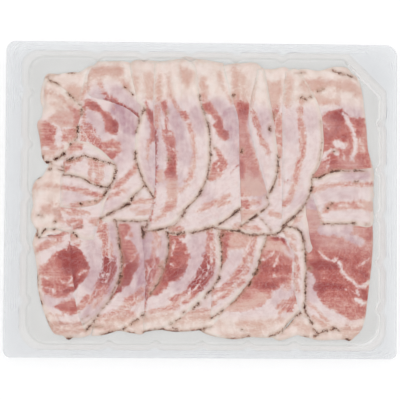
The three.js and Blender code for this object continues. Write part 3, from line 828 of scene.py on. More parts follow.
            (0.42, 11, 93, 250, 94, 260), (0.6, 10, 95, 270, 92, 284), (0.55, 9, 116, 230, 118, 250),
            (0.7, 7, 118, 256, 118, 268, 115, 282, 109, 294), (0.5, 8, 100, 300, 88, 318),
        ],
        "spice": [
            (1.4, 115, 222, 117, 227), (0.8, 117.5, 230, 118.5, 236), (1.9, 119, 238, 119.5, 250),
            (1.2, 120.5, 252, 121.5, 258), (1.9, 121.5, 259, 121.5, 267), (1.1, 121, 268, 120.5, 275),
            (3.2, 120, 276, 118.2, 284), (0.7, 113, 294, 108, 302), (1, 107, 303, 106, 304.5),
            (1, 103.5, 307.5, 102.5, 309), (1.4, 98, 315.5, 97, 317), (1.8, 95, 319, 93, 321.5),
            (0.8, 92, 323, 90, 326), (1.6, 89, 326.5, 88, 328), (1.2, 86.5, 329.5, 85.5, 330.5),
            (-0.6, 120, 268, 119, 277, 116, 286, 112, 293), (-1.4, 81, 320, 88, 316),
            (-1.4, 83, 325, 91, 319), (-0.4, 87, 328, 102, 327),
        ],
    }),
    ("rightSlice3", "right_slice_3", {
        "fold": (305, 205, 297, 214, 288, 220, 284, 227, 297, 228.5, 303, 236, 306, 249, 309.5, 253.5),
        "rind": (312, 251.5, 313.5, 247.5, 311.5, 242, 310, 233, 309, 224, 307, 214, 306.5, 206),
        "streaks": [(0.24, 5, 301, 217, 293, 223)],
        "blush": [(0.3, 4, 308, 236, 311, 250)],
    }),
    ("frontSlice9", "front_slice_9", {
        "fold": (282, 228, 288, 242, 295, 256, 293, 268, 294.5, 288, 297.5, 302, 302, 318),
        "rind": (
            310, 319, 307.5, 315, 305.5, 308, 306.5, 300, 307, 284, 307, 268, 305.5, 246, 303.5, 237,
            299, 229.5, 293, 227,
        ),
        "streaks": [
            (0.38, 6, 296.5, 257, 297.5, 266, 298, 277), (0.36, 5, 296.5, 282, 298, 290),
            (0.24, 6, 286, 234, 294, 238), (0.22, 5, 291, 244, 297, 250),
        ],
        "spice": [
            (0.1, 284, 226, 292, 227), (0.9, 295, 228.5, 297.5, 228.5), (0.8, 299, 229.8, 301, 231.5),
            (2, 301.3, 231.8, 303, 236), (1.7, 303.2, 237, 304.8, 242), (0.9, 305, 243, 305.3, 250),
            (1, 302.5, 250, 304, 250), (0.9, 305.8, 252, 306.2, 260), (1.3, 306.3, 261, 306.6, 268),
            (0.8, 306.7, 272, 306.4, 283), (1.9, 306.3, 284, 306.3, 287), (1.3, 306.3, 288, 306.3, 297),
            (0.7, 306.3, 298, 306, 303), (2.4, 305.5, 304, 305.2, 308.5),
            (1.8, 306, 312, 308, 315.5, 309.5, 317.5),
        ],
    }),
    ("backSlice13", "back_slice_13", {
        "fold": (300, 190, 298, 130, 292, 72),
        "rind": (
            303, 67.5, 318, 69.5, 325, 68.5, 331, 66.5, 337, 65.5, 348, 66.5, 353, 72, 357, 75, 361, 81,
            363, 89, 364.5, 98, 367, 118, 369, 146, 371, 186,
        ),
        "cores": [
            (0.52, 314, 116, 322, 115, 326, 112, 333, 109.5, 343, 107.5, 350, 115, 358, 117, 366, 117.5,
             370, 130, 372, 150, 373, 176, 350, 174, 330, 178, 312, 182, 312, 140),
            (0.44, 298, 82, 306, 79, 315, 78, 340, 79, 350, 80, 357, 83, 362, 88, 363, 95, 357, 95, 352,
             92, 350, 91, 341, 89, 326, 86, 322, 90, 313, 91, 308, 92, 304, 87),
            (0.36, 310, 96, 326, 96, 341, 98, 341, 103, 324, 105, 310, 106),
        ],
        "streaks": [(0.3, 2.5, 335, 89.5, 348, 89.5)],
        "deep": [
            (0.3, 10, 333, 115, 343, 116), (0.18, 6, 338, 119, 338, 130), (0.14, 9, 324, 134, 336, 135),
            (0.14, 8, 344, 136, 348, 137), (-0.1, 12, 326, 122, 331, 126), (0.26, 8, 341, 111, 347, 114),
            (-0.18, 14, 364, 130, 365, 148), (0.2, 6, 360, 121, 360, 131), (0.14, 8, 333, 158, 334, 164),
            (-0.16, 11, 347, 164, 355, 166), (-0.08, 10, 320, 168, 328, 172),
        ],
        "veins": [
            (3.4, 344, 113, 348, 118, 351, 124, 354, 130, 357, 140, 356, 150, 353, 158),
            (7, 338, 143, 344, 146), (4, 323, 158, 328, 153, 332, 150), (1.4, 321, 161, 330, 157),
            (4, 335, 150, 338, 153), (0.8, 330, 161, 328, 168), (0.8, 361, 140, 365, 150),
            (0.7, 324, 122, 330, 128), (0.8, 344, 150, 346, 158),
        ],
        "blush": [
            (0.45, 10, 345, 97, 351, 106, 356, 111), (0.4, 7, 346, 93, 353, 97),
            (0.5, 10, 326, 121, 332, 128), (0.55, 12, 347, 164, 355, 167), (0.4, 10, 318, 170, 330, 172),
        ],
        "spice": [
            (-0.3, 295, 72.5, 306, 72), (1, 333, 70, 340, 72, 348, 74), (0.6, 348, 74, 357, 78),
            (1, 319, 90.5, 321, 90.3), (1, 322, 88.5, 324, 88.5), (1, 335.5, 151, 336.5, 151),
        ],
    }),
    ("rightSlice1", "right_slice_1", {
        "fold": (309, 186, 316, 204, 321, 224),
        "rind": (
            335, 224.5, 350, 224, 373, 226, 374.5, 200, 374.5, 170, 366, 168.5, 357, 169, 342, 169.5,
            330, 173, 322, 176.5, 313, 178,
        ),
        "cores": [
            (0.34, 322, 214, 325, 205, 330, 201.5, 345, 201, 366, 200, 375, 202, 375, 212, 366, 210, 352,
             208.5, 340, 211, 332, 209.5, 327, 214),
        ],
        "streaks": [
            (0.34, 5, 325, 186, 340, 184, 375, 184), (0.22, 7, 313, 190, 324, 187),
            (0.2, 7, 312, 204, 319, 216, 321, 222),
        ],
        "deep": [(-0.2, 10, 367, 205, 375, 207)],
        "veins": [(1, 340, 205, 350, 206), (0.8, 358, 203, 364, 206)],
        "blush": [(0.65, 5, 350, 174, 364, 174), (0.3, 6, 330, 194, 350, 194)],
        "spice": [
            (2, 314, 177, 318, 177.5, 321, 176.5), (0.9, 321, 176.5, 328, 173, 334, 171),
            (1.8, 334, 171, 342, 170.3), (0.8, 342, 170.5, 350, 170.8), (1.6, 356, 170.3, 359, 170.3),
            (0.8, 359, 170.5, 366, 171), (1, 356, 181.5, 359, 181), (1.4, 331, 205, 333, 203),
            (1, 328, 208, 329, 208), (0.6, 324, 224, 350, 224), (1.6, 353, 223.5, 356.5, 223.5),
            (1.2, 367.5, 224, 369, 224.5),
        ],
    }),
    ("backSlice11", "back_slice_11", {
        "fold": (256, 67, 254, 120, 240, 180, 214, 226.5),
        "rind": (
            226, 230, 240, 231.5, 250, 235, 263, 235.5, 275, 235, 283, 231, 290, 228, 302, 200, 302, 130,
            292, 71, 272, 68,
        ),
        "cores": [
            (0.34, 262, 84, 268, 79, 275, 82, 281, 79, 283, 92, 280, 107, 271, 108, 266, 104, 263, 94),
            (0.5, 272, 108, 280, 108, 278, 114, 276, 120, 274, 126, 270, 118),
            (0.4, 278, 113, 284, 112, 284, 128, 277, 129, 276, 122),
            (0.34, 272, 128, 284, 128, 285, 141, 285, 150, 281, 159, 277, 152, 272, 147),
        ],
        "streaks": [
            (0.32, 2.6, 280, 167, 280, 186), (0.22, 7, 272, 213, 280, 216), (0.3, 6, 236, 226, 258, 229),
        ],
        "veins": [(1, 276, 133, 282, 136), (0.8, 278, 145, 284, 147)],
        "spice": [
            (1.2, 274.5, 113, 274.5, 117), (1.2, 214, 227.5, 219, 229),
            (0.9, 219, 229, 226, 230, 234, 231), (2, 235, 231, 240, 231.3), (0.8, 241, 232, 246, 234),
            (1.8, 246, 234.3, 250, 234.8), (0.8, 251, 235, 261, 235), (2, 261, 235, 264, 235),
            (0.9, 265, 235.2, 272, 235), (2, 272, 234.8, 276, 234.4), (0.9, 277, 233.5, 283, 231),
        ],
    }),
    ("backSlice9", "back_slice_9", {
        "fold": (218, 65, 226, 110, 236, 165, 240, 207, 241.5, 226),
        "rind": (
            249, 222, 256, 217, 265, 210.5, 270.5, 203, 268, 196, 276, 170, 272, 110, 262, 66, 240, 62,
        ),
        "cores": [
            (0.4, 228, 100, 240, 99, 250, 101, 251, 108, 248, 118, 247.5, 124, 250.5, 137, 255, 150, 259,
             160, 264, 180, 268, 191, 262, 196, 250, 196.5, 236, 197, 232, 150),
            (0.46, 236, 199, 248, 198, 252, 201, 252.5, 206, 249, 209, 236, 209),
            (0.16, 236, 210, 255, 209.5, 261, 208, 252, 216, 238, 224),
        ],
        "streaks": [
            (0.36, 8, 235, 70, 236, 84, 237, 99), (0.22, 7, 244, 78, 245, 98),
            (0.3, 6, 252, 202, 259, 202),
        ],
        "deep": [
            (0.22, 14, 242, 105, 244, 112), (0.14, 4, 240.5, 109, 240.5, 115),
            (0.12, 7, 247, 104, 246, 112), (0.06, 10, 250, 152, 252, 170), (0.28, 6, 242, 163, 242.5, 177),
            (-0.4, 16, 246, 182, 258, 187), (-0.14, 6, 246, 193, 264, 193), (-0.15, 9, 234, 102, 237, 106),
        ],
        "blush": [
            (0.35, 8, 258, 199, 265, 202), (0.75, 14, 247, 174, 260, 188), (0.6, 11, 243, 121, 247, 160),
            (0.3, 6, 250, 160, 255, 172),
        ],
        "spice": [
            (1.8, 242.3, 148.5, 242.3, 151.5), (0.9, 234, 94.5, 234, 95.5),
            (1.4, 267.5, 196.5, 268.3, 198.5), (0.7, 270.5, 204, 267, 208, 261, 212),
            (2.8, 257, 215, 251, 219.5), (1, 249, 221.5, 245, 223.5), (1.1, 244, 224, 241, 226),
            # a painted shade line of a film wrinkle, given as faint rub
            (-0.6, 257, 214, 264, 222, 272, 231),
        ],
    }),
    ("backSlice10", "back_slice_10", {
        "fold": (258, 68, 250, 105, 250, 128, 259, 162, 269, 198),
        "rind": (276, 184, 279, 163, 277, 140, 273, 112, 269, 92, 265, 68),
        "streaks": [
            (0.36, 6, 253.5, 110, 255, 116), (0.48, 6, 256, 117, 257, 126),
            (0.38, 5.5, 259, 128, 260.5, 139), (0.36, 6.5, 262, 141, 269, 152),
            (0.24, 4, 254, 78, 252, 106),
        ],
        "blush": [(0.55, 8, 264, 117, 266, 129)],
        "spice": [
            (1, 269.5, 125.5, 269.8, 130.5), (1.1, 278.3, 155, 278.8, 163, 278, 172),
            (1, 277, 176, 274, 186, 270, 193),
        ],
    }),
    ("backSlice12", "back_slice_12", {
        "fold": (286, 70, 283, 105, 283, 165, 282, 228),
        "rind": (
            289, 222, 295, 216, 309, 200, 312, 189, 313, 183, 314, 176, 320, 166, 324, 152, 324.5, 135,
            321, 108, 309, 84, 298, 68,
        ),
        "streaks": [
            (0.36, 5.5, 301, 99, 301, 118), (0.34, 6.5, 301, 120, 303, 132, 303.5, 144, 303, 156),
            (0.32, 6.5, 301, 158, 298, 170, 295.5, 182), (0.3, 7, 294, 186, 291, 197, 285, 204),
            (0.6, 0.9, 281, 189, 284, 185, 288, 180), (0.28, 6, 288, 78, 290, 88, 287, 96, 288, 104),
            (0.34, 6, 304, 83, 309, 88),
        ],
        "blush": [
            (0.3, 7, 306, 119, 312, 121), (0.3, 8, 290, 122, 291, 136), (0.4, 5, 297, 200, 304, 199),
        ],
        "spice": [
            (1.2, 301.5, 96.5, 302.5, 96.7), (1.1, 305, 98.5, 306, 98.5), (1.1, 310.5, 96.5, 311.5, 96.5),
            (-0.8, 321, 120, 323, 140, 320, 162, 315, 173), (1, 314, 174, 312.5, 181, 312, 187),
            (2, 312, 189, 311.6, 191.5), (1, 311, 192.5, 310, 196), (2, 309.5, 197, 308.5, 199),
            (1, 308, 201, 304, 207), (2.2, 302, 209.5, 298, 213.5), (1, 297, 214.5, 295, 217),
            (2.8, 293.5, 217.5, 290, 220), (3.4, 288, 222, 284, 226.5),
        ],
    }),
    ("backSlice8", "back_slice_8", {
        "fold": (224, 62, 232, 96, 239, 120, 240, 165, 241.5, 207),
        "rind": (232, 216, 213, 227, 190, 233, 169, 233, 172, 200, 178, 120, 180, 60, 200, 58),
        "cores": [
            (0.5, 200, 102, 208, 100.5, 211, 100, 216, 109, 220, 114, 223, 119, 224.5, 128, 229, 132,
             229.5, 137, 228, 140, 224, 141, 221, 139, 217, 134, 215, 129, 213, 125, 216, 120, 212, 116,
             206, 111, 200, 107),
            (0.46, 213, 147, 217, 147, 221, 152, 227, 160, 228, 164, 226, 168, 223, 170, 222, 176, 216,
             179, 211, 181, 208, 178, 211, 168, 212, 163, 219, 159),
        ],
        "streaks": [
            (0.34, 7, 203, 78, 205, 99), (0.3, 4, 219, 73, 221, 80, 224, 88, 228, 94, 232, 102),
            (0.6, 0.9, 231, 173, 235, 168.5, 238, 165), (0.28, 5, 230, 195, 222, 199, 214, 203, 206, 205),
            (0.26, 4.5, 230, 202, 219, 204), (0.22, 4.5, 207, 207, 198, 211), (0.4, 6, 171, 228, 181, 229),
        ],
        "deep": [
            (0.2, 7, 222, 121, 224, 130), (0.2, 6, 227, 131, 228, 137), (0.1, 6, 205, 104, 211, 105),
            (-0.14, 8, 212, 176, 218, 176),
        ],
        "veins": [(1.2, 219, 163, 216, 167, 219, 171)],
        "blush": [
            (0.5, 8, 216, 103, 222, 110), (0.7, 9, 229, 114, 232, 124, 232, 134),
            (0.4, 7, 235, 142, 235, 158), (0.35, 6, 200, 190, 208, 198),
        ],
        "spice": [
            (1.8, 214, 146, 215, 148), (2.4, 239.5, 209, 233, 215), (1, 231, 216.5, 225, 221, 218, 225),
            (2.2, 213, 227.5, 204, 230), (1, 203, 230.5, 196, 232), (1.6, 195, 232, 190, 233),
            (2.2, 184, 233, 178, 233.5), (1, 178, 233.5, 168, 233),
        ],
    }),
    ("backSlice1", "back_slice_1", {
        "fold": (100, 108, 95, 64),
        "rind": (90, 64.5, 85, 67, 78, 71, 72, 71, 62, 72, 57, 73, 44, 75.5, 44, 108),
        "cores": [(0.34, 58, 86, 75, 84, 92, 85, 92, 104, 84, 108, 72, 98, 62, 92)],
        "streaks": [(0.5, 4.5, 82, 103, 83, 112)],
        "spice": [(-0.2, 45, 76, 55, 73.5), (1.2, 56, 73, 57, 73), (0.8, 67.5, 71.6, 73, 71.5)],
    }),
    ("leftSlice4", "left_slice_4", {
        "fold": (104, 176, 104, 203, 100, 218, 93, 240),
        "rind": (
            84, 240, 78, 237, 72, 233.5, 62, 231, 54, 228.5, 44, 230, 38, 238, 36, 231, 33, 226, 29.5, 219,
            30.5, 210, 32, 205, 31, 197, 31, 189, 33, 183, 37, 178, 42, 175, 46, 168, 54, 156, 70, 150,
        ),
        "cores": [
            (0.5, 39, 205, 51, 203, 52, 214, 41, 215), (0.75, 49, 207, 58, 205, 62, 217, 54, 220),
            (0.36, 57, 204, 68, 205, 78, 209, 78, 215, 70, 216, 60, 211),
            (0.38, 66, 220, 72, 218, 82, 219, 84, 229, 75, 229.5, 66, 224),
            (0.32, 86, 219, 100, 217, 97, 227, 88, 222),
        ],
        "streaks": [
            (0.3, 5, 33, 187, 45, 186.5, 62, 186), (0.3, 5, 51, 204, 58, 203), (0.4, 3, 56, 217, 63, 222),
            (0.36, 6, 76, 211, 88, 213),
        ],
        "veins": [(0.9, 70, 225, 78, 222), (0.8, 64, 208, 70, 211)],
        "spice": [
            (1.1, 48, 169, 50, 168), (1, 57, 168.5, 63, 171), (1.2, 61, 166, 62, 166),
            (1, 37, 178, 38, 177), (1.2, 37, 215, 38, 215), (1.2, 41, 216.5, 42, 216.5),
            (1, 53.5, 222, 54.5, 222), (1.2, 36.3, 230, 36.5, 236), (1.2, 38, 237.5, 38.5, 237.5),
            (1.2, 42, 233, 44, 230.3), (1.3, 53.5, 229.5, 54.5, 229.5), (0.9, 73, 233, 74, 233.5),
            (1.2, 75, 235, 76, 236),
        ],
    }),
    ("leftSlice3", "left_slice_3", {
        "fold": (66, 166, 60, 176, 59, 207),
        "rind": (70, 208, 84, 207, 97, 204, 104, 195, 108.5, 187, 104, 170),
        "streaks": [
            (0.34, 6, 60, 187, 72, 188, 84, 191), (0.42, 6.5, 84, 191.5, 92, 194, 100, 196),
            (0.3, 6, 72, 205, 86, 204, 103, 200),
        ],
        "blush": [(0.3, 8, 62, 197, 80, 197)],
        "spice": [
            (1.3, 95.5, 201, 96.5, 201), (1.2, 80, 203.5, 81, 203.7), (1, 88.5, 202, 89.5, 202),
            (1.4, 104, 195, 108, 188), (-1, 96, 203, 104, 197),
        ],
    }),
    ("backSlice6", "back_slice_6", {
        "fold": (157, 180, 155, 200, 149, 222),
        "rind": (130, 221.5, 114, 221, 101, 219, 108, 190),
        "streaks": [
            (0.3, 6, 144, 201, 151, 200), (0.22, 5, 134, 202, 142, 200), (0.2, 3, 127, 211, 137, 208),
            # the last streak on this line, down the fold, is painted fold shade, not lean
            (0.2, 5, 138, 213, 150, 211), (0.5, 2, 153, 198, 151, 210, 149, 222),
        ],
        "spice": [(1.2, 114, 220.8, 125, 221.2, 136, 221.3, 147, 221)],
    }),
    ("backSlice3", "back_slice_3", {
        "fold": (88, 66, 76, 105, 70, 140, 84, 170, 107, 190, 104, 203, 100, 218.5),
        "rind": (112, 212.5, 126, 204, 136, 193, 145, 184, 151, 150, 150, 105, 142, 70),
        "cores": [
            (0.56, 82, 98, 90, 99, 97, 102, 103, 109, 109, 112, 113, 117, 119, 122, 119, 130, 116, 134.5,
             111, 135, 105.5, 131, 104, 123, 100, 114, 94, 111, 84, 106),
            (0.46, 102, 141, 112, 138, 120, 141, 122, 150, 115, 158, 107, 162, 105, 152),
            (0.36, 136, 159, 138, 168, 136, 172, 131, 175.5, 124, 184, 115, 189.5, 110, 189, 119, 179, 129,
             170, 133, 164),
        ],
        "streaks": [
            (0.5, 11.5, 87, 128, 92, 137, 98, 144, 102, 148), (0.46, 4, 83.5, 107, 83.5, 124),
            (0.46, 7, 82, 127, 83, 143), (0.32, 6, 106, 198, 115, 194, 124, 190),
            (0.45, 0.9, 112, 103, 114, 109), (0.32, 5, 85, 84, 81, 97),
        ],
        "deep": [
            (0.36, 9, 115, 122, 118, 131), (0.14, 10, 109, 155, 116, 157), (0.08, 6, 92, 103, 99, 108),
        ],
        "veins": [(0.8, 92, 130, 97, 134), (1, 106, 148, 113, 149)],
        "blush": [
            (0.95, 9, 118, 109, 125, 118, 130, 128), (0.5, 4, 89, 113, 89, 122),
            (0.35, 11, 96, 122, 101, 132), (0.4, 8, 108, 156, 118, 160), (0.5, 9, 124, 140, 127, 150),
            (0.3, 6, 108, 202, 115, 206),
        ],
        "spice": [
            (1, 100, 219, 107, 215, 123, 207), (3.2, 124.5, 206, 128.5, 203.5),
            (2, 130, 200.5, 134, 195.5, 139, 191), (0.4, 140, 190, 145, 184),
        ],
    }),
    ("backSlice4", "back_slice_4", {
        "fold": (97, 60, 88, 72, 88, 94, 106, 100, 125, 107, 139.5, 118),
        "rind": (141, 104, 137, 84, 131, 62),
        "cores": [
            (0.48, 88, 70, 96, 66, 106, 65, 113, 67, 124, 66, 126, 73, 118, 77, 108, 75, 98, 78, 89, 76),
            (0.36, 117, 76, 124, 78, 129, 82, 131, 88, 128, 91, 124, 87, 120, 82),
        ],
        "streaks": [
            (0.36, 4.5, 99, 76, 100, 84, 103, 91), (0.52, 4.5, 104, 92, 108, 96, 113, 99, 118, 101.5),
            # this streak and the next, along the fold, are painted fold shade, not lean
            (0.3, 3, 88, 74, 88, 90),
            (0.85, 4.4, 106, 98, 114, 101, 120, 104.5, 126, 107.5, 131, 110.5, 135, 114, 139, 118),
        ],
        # the first deep stroke darkens that painted fold shade
        "deep": [(0.14, 6, 128, 108, 136, 115), (0.1, 6, 119, 70, 123, 74)],
        "blush": [(0.5, 6, 98, 94, 106, 98), (0.45, 8, 118, 92, 130, 102, 136, 106)],
        "spice": [(0.8, 124, 86, 126, 88, 130, 91, 133, 94)],
    }),
    ("backSlice5", "back_slice_5", {
        "fold": (162, 60, 160, 90, 160, 120, 159, 160, 154, 197),
        "rind": (
            149, 191, 143, 182, 140, 175, 137, 166, 134.5, 156, 134.5, 144, 136, 130, 139, 121, 142, 113,
            144.5, 108.5, 141, 105, 136.5, 101, 135, 92, 131, 61,
        ),
        "cores": [
            (0.34, 133, 73, 137, 77, 139, 86, 140, 91, 137, 95, 134, 92),
            (0.54, 144, 96, 146, 97, 148, 104, 151, 110, 162, 110, 162, 130, 154, 141, 147, 147, 150, 135,
             151, 130, 150, 122, 148, 118, 146, 112, 145, 104),
        ],
        "streaks": [(0.28, 11, 149, 77, 150, 94), (0.26, 3.5, 148, 141, 147.5, 158)],
        "deep": [(0.3, 6, 149.5, 108, 152, 119)],
        "blush": [(0.3, 6, 151, 150, 151, 172), (0.5, 4.5, 153, 112, 153, 182)],
        "spice": [
            (1.4, 144, 108, 144.5, 108.5), (0.6, 143.5, 109.5, 141, 115), (1.7, 139.6, 118, 139, 122),
            (0.6, 138.5, 123, 136, 131), (2.2, 135, 152, 135.3, 159),
            (1.1, 136, 161, 137.5, 166, 140.5, 175, 143.5, 182), (1.4, 144.5, 184, 149, 191),
            (1.1, 149.5, 192, 153.5, 197),
        ],
    }),
    ("backSlice7", "back_slice_7", {
        "fold": (154, 61, 153, 110, 155, 150, 154, 197, 147, 231.5),
        "rind": (162, 229.5, 176, 222, 185, 210, 199, 197, 208, 176, 211, 150, 208, 122, 200, 97, 192, 60),
        "cores": [
            (0.58, 159, 100, 167, 99, 167.5, 109, 167.5, 113, 166.5, 119, 165, 115, 163, 110, 160, 104),
            (0.5, 162, 129, 170, 128.5, 175, 132, 175.5, 147, 177.5, 152, 176.5, 168, 178.5, 180, 172, 183,
             164, 179, 164, 172, 166, 166, 168, 158, 166.5, 146, 163.5, 140, 161.5, 134),
            (0.2, 166, 182, 178, 182, 177, 199, 167, 199),
            (0.32, 166, 200, 177, 199, 176, 207, 172, 210, 162, 215, 160, 211, 164, 206),
            (0.14, 155, 169, 163, 170, 163, 182, 155, 182),
            (0.5, 179, 108.5, 187, 111, 189, 117, 187, 121.5, 183, 120, 181, 116),
            (0.44, 186, 122, 192, 122.5, 193.5, 131, 190, 134, 187, 127),
            (0.32, 189.5, 168, 195, 169, 194, 177, 190, 181, 184, 183, 183, 180, 188, 177),
            (0.34, 181, 66, 188, 68, 194, 72, 193, 80, 188, 85, 183, 82, 180, 76),
        ],
        "streaks": [
            # the streaks on this line and the next, and the last one on the line after, run down the fold
            # and are painted fold shade, not lean
            (0.95, 3.8, 155.3, 128, 155.5, 146, 154.9, 158, 154.7, 179),
            (0.6, 2.4, 154.7, 180, 154.6, 197), (0.9, 4.6, 155, 165, 154.8, 181),
            (0.34, 6, 157, 106, 157, 126), (0.5, 2, 154, 203, 152.3, 210, 150, 222),
            (0.52, 3.6, 166.5, 117, 167, 129), (0.24, 5, 193, 135, 195, 150, 193.5, 168),
            (0.2, 5, 188, 185, 180, 190), (0.3, 6, 159, 75, 159, 99),
            (0.34, 4.5, 167, 75, 169, 85, 171, 95, 175, 103, 179, 110), (0.2, 5, 156, 219, 164, 215),
        ],
        "deep": [(0.17, 10, 172, 161, 172, 172), (-0.2, 8, 166, 179, 178, 180)],
        "veins": [(0.9, 165, 134, 171, 133), (0.8, 168, 146, 174, 149), (0.9, 184, 122, 190, 121)],
        "blush": [
            (0.65, 8, 173, 110, 176, 122, 178, 136), (0.45, 11, 181, 145, 186, 156),
            (0.5, 6, 197, 112, 199, 124), (0.5, 7, 166, 179, 178, 180), (0.35, 8, 168, 137, 171, 150),
            (0.5, 4, 156, 110, 156, 182),
        ],
        "spice": [
            (0.7, 199.5, 95, 202, 107, 205, 114), (1.3, 206.8, 119, 209, 126),
            (0.9, 209.3, 127, 210.6, 140, 210.8, 152), (2, 210.8, 154, 210.6, 160),
            (1.2, 210.3, 161, 208, 176), (1.2, 207.5, 177, 204, 185, 200, 193),
            (1.4, 199.5, 194, 193, 202), (1.2, 192, 203, 186, 209), (3.6, 184.8, 210.5, 182.3, 216),
            (-1, 178, 214, 184, 209), (1, 181.5, 217, 179.5, 220.5), (1.2, 178.5, 221.5, 174, 225.5),
            (1.2, 173, 226, 164, 228.7), (2.4, 162.5, 229, 156, 230), (1.1, 154, 230.3, 148, 231),
            (1.4, 168.5, 158, 168.5, 160), (0.9, 168, 111, 168, 113.5),
        ],
    }),
    ("leftSlice2", "left_slice_2", {
        "fold": (72, 150, 63, 160, 63, 174.5),
        "rind": (
            70, 175.5, 80, 177.5, 86, 180, 92, 184.5, 98, 186, 107, 187.5, 111, 184.5, 114.5, 176,
            116, 166, 107, 157,
        ),
        "cores": [
            (0.45, 61, 161, 66, 160, 77, 158, 76, 160, 70, 167, 64, 174),
            (0.32, 87, 158, 99, 158, 99, 172, 90, 174),
        ],
        "streaks": [
            (0.4, 4, 73, 163, 80, 158), (0.32, 4.5, 90, 170, 90, 182), (0.32, 6, 97, 168, 97, 185),
            (0.26, 5, 101.5, 160, 101, 179),
        ],
        "veins": [(0.9, 92, 160, 94, 176), (0.8, 66, 164, 72, 164)],
        "spice": [
            (1, 115.6, 167, 114, 177, 111.5, 183.5),
            (0.7, 63, 174.5, 70, 175.2, 80, 177.3, 86, 180, 92, 184.3, 98, 185.8),
            (0.8, 99, 186, 105, 187), (2, 110, 185, 109.5, 188), (1.6, 105.5, 188, 107.5, 187.5),
        ],
    }),
    ("leftSlice1", "left_slice_1", {
        "fold": (57, 160, 72, 159, 84, 155, 100, 160.5, 116, 165),
        "rind": (105, 153, 94, 145, 84, 141, 72, 140.5, 62, 148),
        "cores": [(0.34, 66, 141, 76, 141, 83, 144, 82, 149, 74, 151, 68, 156)],
        "spice": [(1, 73, 158.7, 84, 155.2, 95, 158.4, 103, 161, 115, 164.5), (2.6, 68, 160, 73, 157.5)],
    }),
    ("backSlice2", "back_slice_2", {
        "fold": (
            46, 164, 41.5, 158, 40, 148, 38.5, 136, 36.2, 126, 37, 120.5, 40.5, 116, 42, 105, 43.5, 75.5,
        ),
        "rind": (
            50, 79.5, 59, 84.5, 68, 92, 74, 99.5, 79.5, 103.5, 82, 110, 80, 117, 77.5, 125, 77, 132,
            76.5, 138, 70, 144, 63, 153, 55, 160.5,
        ),
        "cores": [
            (0.24, 60, 109, 75, 110, 79, 118, 76, 126, 60, 127, 52, 122, 47, 118, 52, 113),
            (0.42, 34, 120, 41, 121, 45, 119.5, 49, 121, 52, 124, 58, 127, 55.5, 133, 54, 138, 55, 143, 50,
             146.5, 40, 146.5, 36, 136), (0.34, 61, 129, 70, 127, 78, 128, 77, 138, 68, 143, 61, 141),
            (0.38, 70, 109, 79, 108, 82, 114, 78, 128, 71, 127),
        ],
        "streaks": [
            (0.36, 6.5, 42, 91, 52, 93, 62, 98, 68, 104), (0.42, 7, 69, 105, 74, 110),
            (0.28, 5, 53, 103, 62, 107), (0.2, 7, 42, 152, 52, 153), (0.3, 7, 52, 148, 60, 147),
        ],
        "deep": [(0.1, 11, 49, 128, 50, 140), (-0.12, 7, 38, 122, 39, 133), (0.16, 5, 76, 116, 75.5, 130)],
        "veins": [(5, 58, 130, 57.5, 144), (1, 64, 132, 70, 136), (0.8, 66, 118, 72, 120)],
        "blush": [(0.35, 9, 62, 116, 72, 118)],
        "spice": [
            (1.8, 49, 79.5, 51, 80.5), (-0.2, 45, 77, 59, 84), (1, 67, 92, 74, 99.5),
            (1.2, 78.5, 103.3, 80, 104), (2, 81.3, 109, 81, 113), (2, 77.3, 126, 77, 131.5),
            (1.2, 77, 135.5, 76.7, 137), (1.1, 75.5, 139, 75, 140), (1.1, 70.5, 143, 69.5, 144),
            (3.4, 55, 158.5, 59, 156.5, 63.5, 153.5), (0.8, 41.8, 155, 42.2, 158),
            (1.2, 45.5, 162, 50, 161.5), (-0.8, 51, 164, 58, 166),
        ],
    }),
]
# rub comes off on the neighbours, so every slice sees all of it, along with the painted film-wrinkle shade
# among the spice lines
rubMarks = [mark for name, node, plan in slicePlans for mark in plan.get("spice", ())]
for name, node, plan in slicePlans:
    laySlice(name, node, plan)
print("slices laid:", len(slicesLaid), "highest", round(float(pile.max()) * 1000, 2), "mm")

# tray of clear sheet: flat rim, ribbed wall, flat floor; lengths here are in millimetres
trayPlan = {
    "rim": {"left": -125, "right": 125, "front": -100.5, "back": 100.5},
    "rimCorners": (5, 4.5, 7.5, 6),  # front left, front right, back right, back left
    "wallTop": {"left": -115, "right": 118, "front": -95.4, "back": 94.6},
    "wallFoot": {"left": -110.8, "right": 115, "front": -92, "back": 91.6},
    "wallCorners": (14, 13, 24, 10),  # the back right one is a straight cut
    "rimLevel": 12.0,
    # rim from its outer edge inwards: share of the way to the wall, and drop
    "rimSteps": (
        (0, 0.4), (0.03, 0.1), (0.09, 0), (0.34, 0), (0.4, 0.14), (0.46, 0), (0.66, 0), (0.71, 0.1),
        (0.76, 0), (0.92, 0),
    ),
    "cornerShare": 0.6,
    "cutFrom": 0.7,
    # wall: share of the way down, level, and share of the rib
    "wallSteps": (
        (-0.05, 11.85, 0.4), (0.04, 11.3, 0.8), (0.3, 8.8, 1), (0.6, 5.6, 1), (0.9, 2, 1), (0.97, 1.1, 1),
        (1.08, 0.62, 0.9), (1.3, 0.5, 0.7),
    ),
    "floorInsets": (5, 12, 40, 80),
    "cornerLoss": 1 / 3,  # for each millimetre of inset
    "floorLevel": 0.5,
    "floorMiddle": (2.0, 0.0),
    "sheet": 0.45,
    "ribLength": 10,
    "ribDepth": 2.2,
    # middle and pitch of the ribs, anticlockwise
    "ribs": {"front": (1, 29.8), "right": (-9.5, 30), "back": (-8, 29.8), "left": (2, 33.5)},
    "ribCount": 5,
    "sideSteps": 120,
    "cornerSteps": 10,
}
sheetPlan = {"leastCorner": 1, "mergeWithin": 1e-6, "smoothAngle": 50}
inwards = np.array([(0, 1), (-1, 0), (0, -1), (1, 0)])  # from the front, right, back and left sides


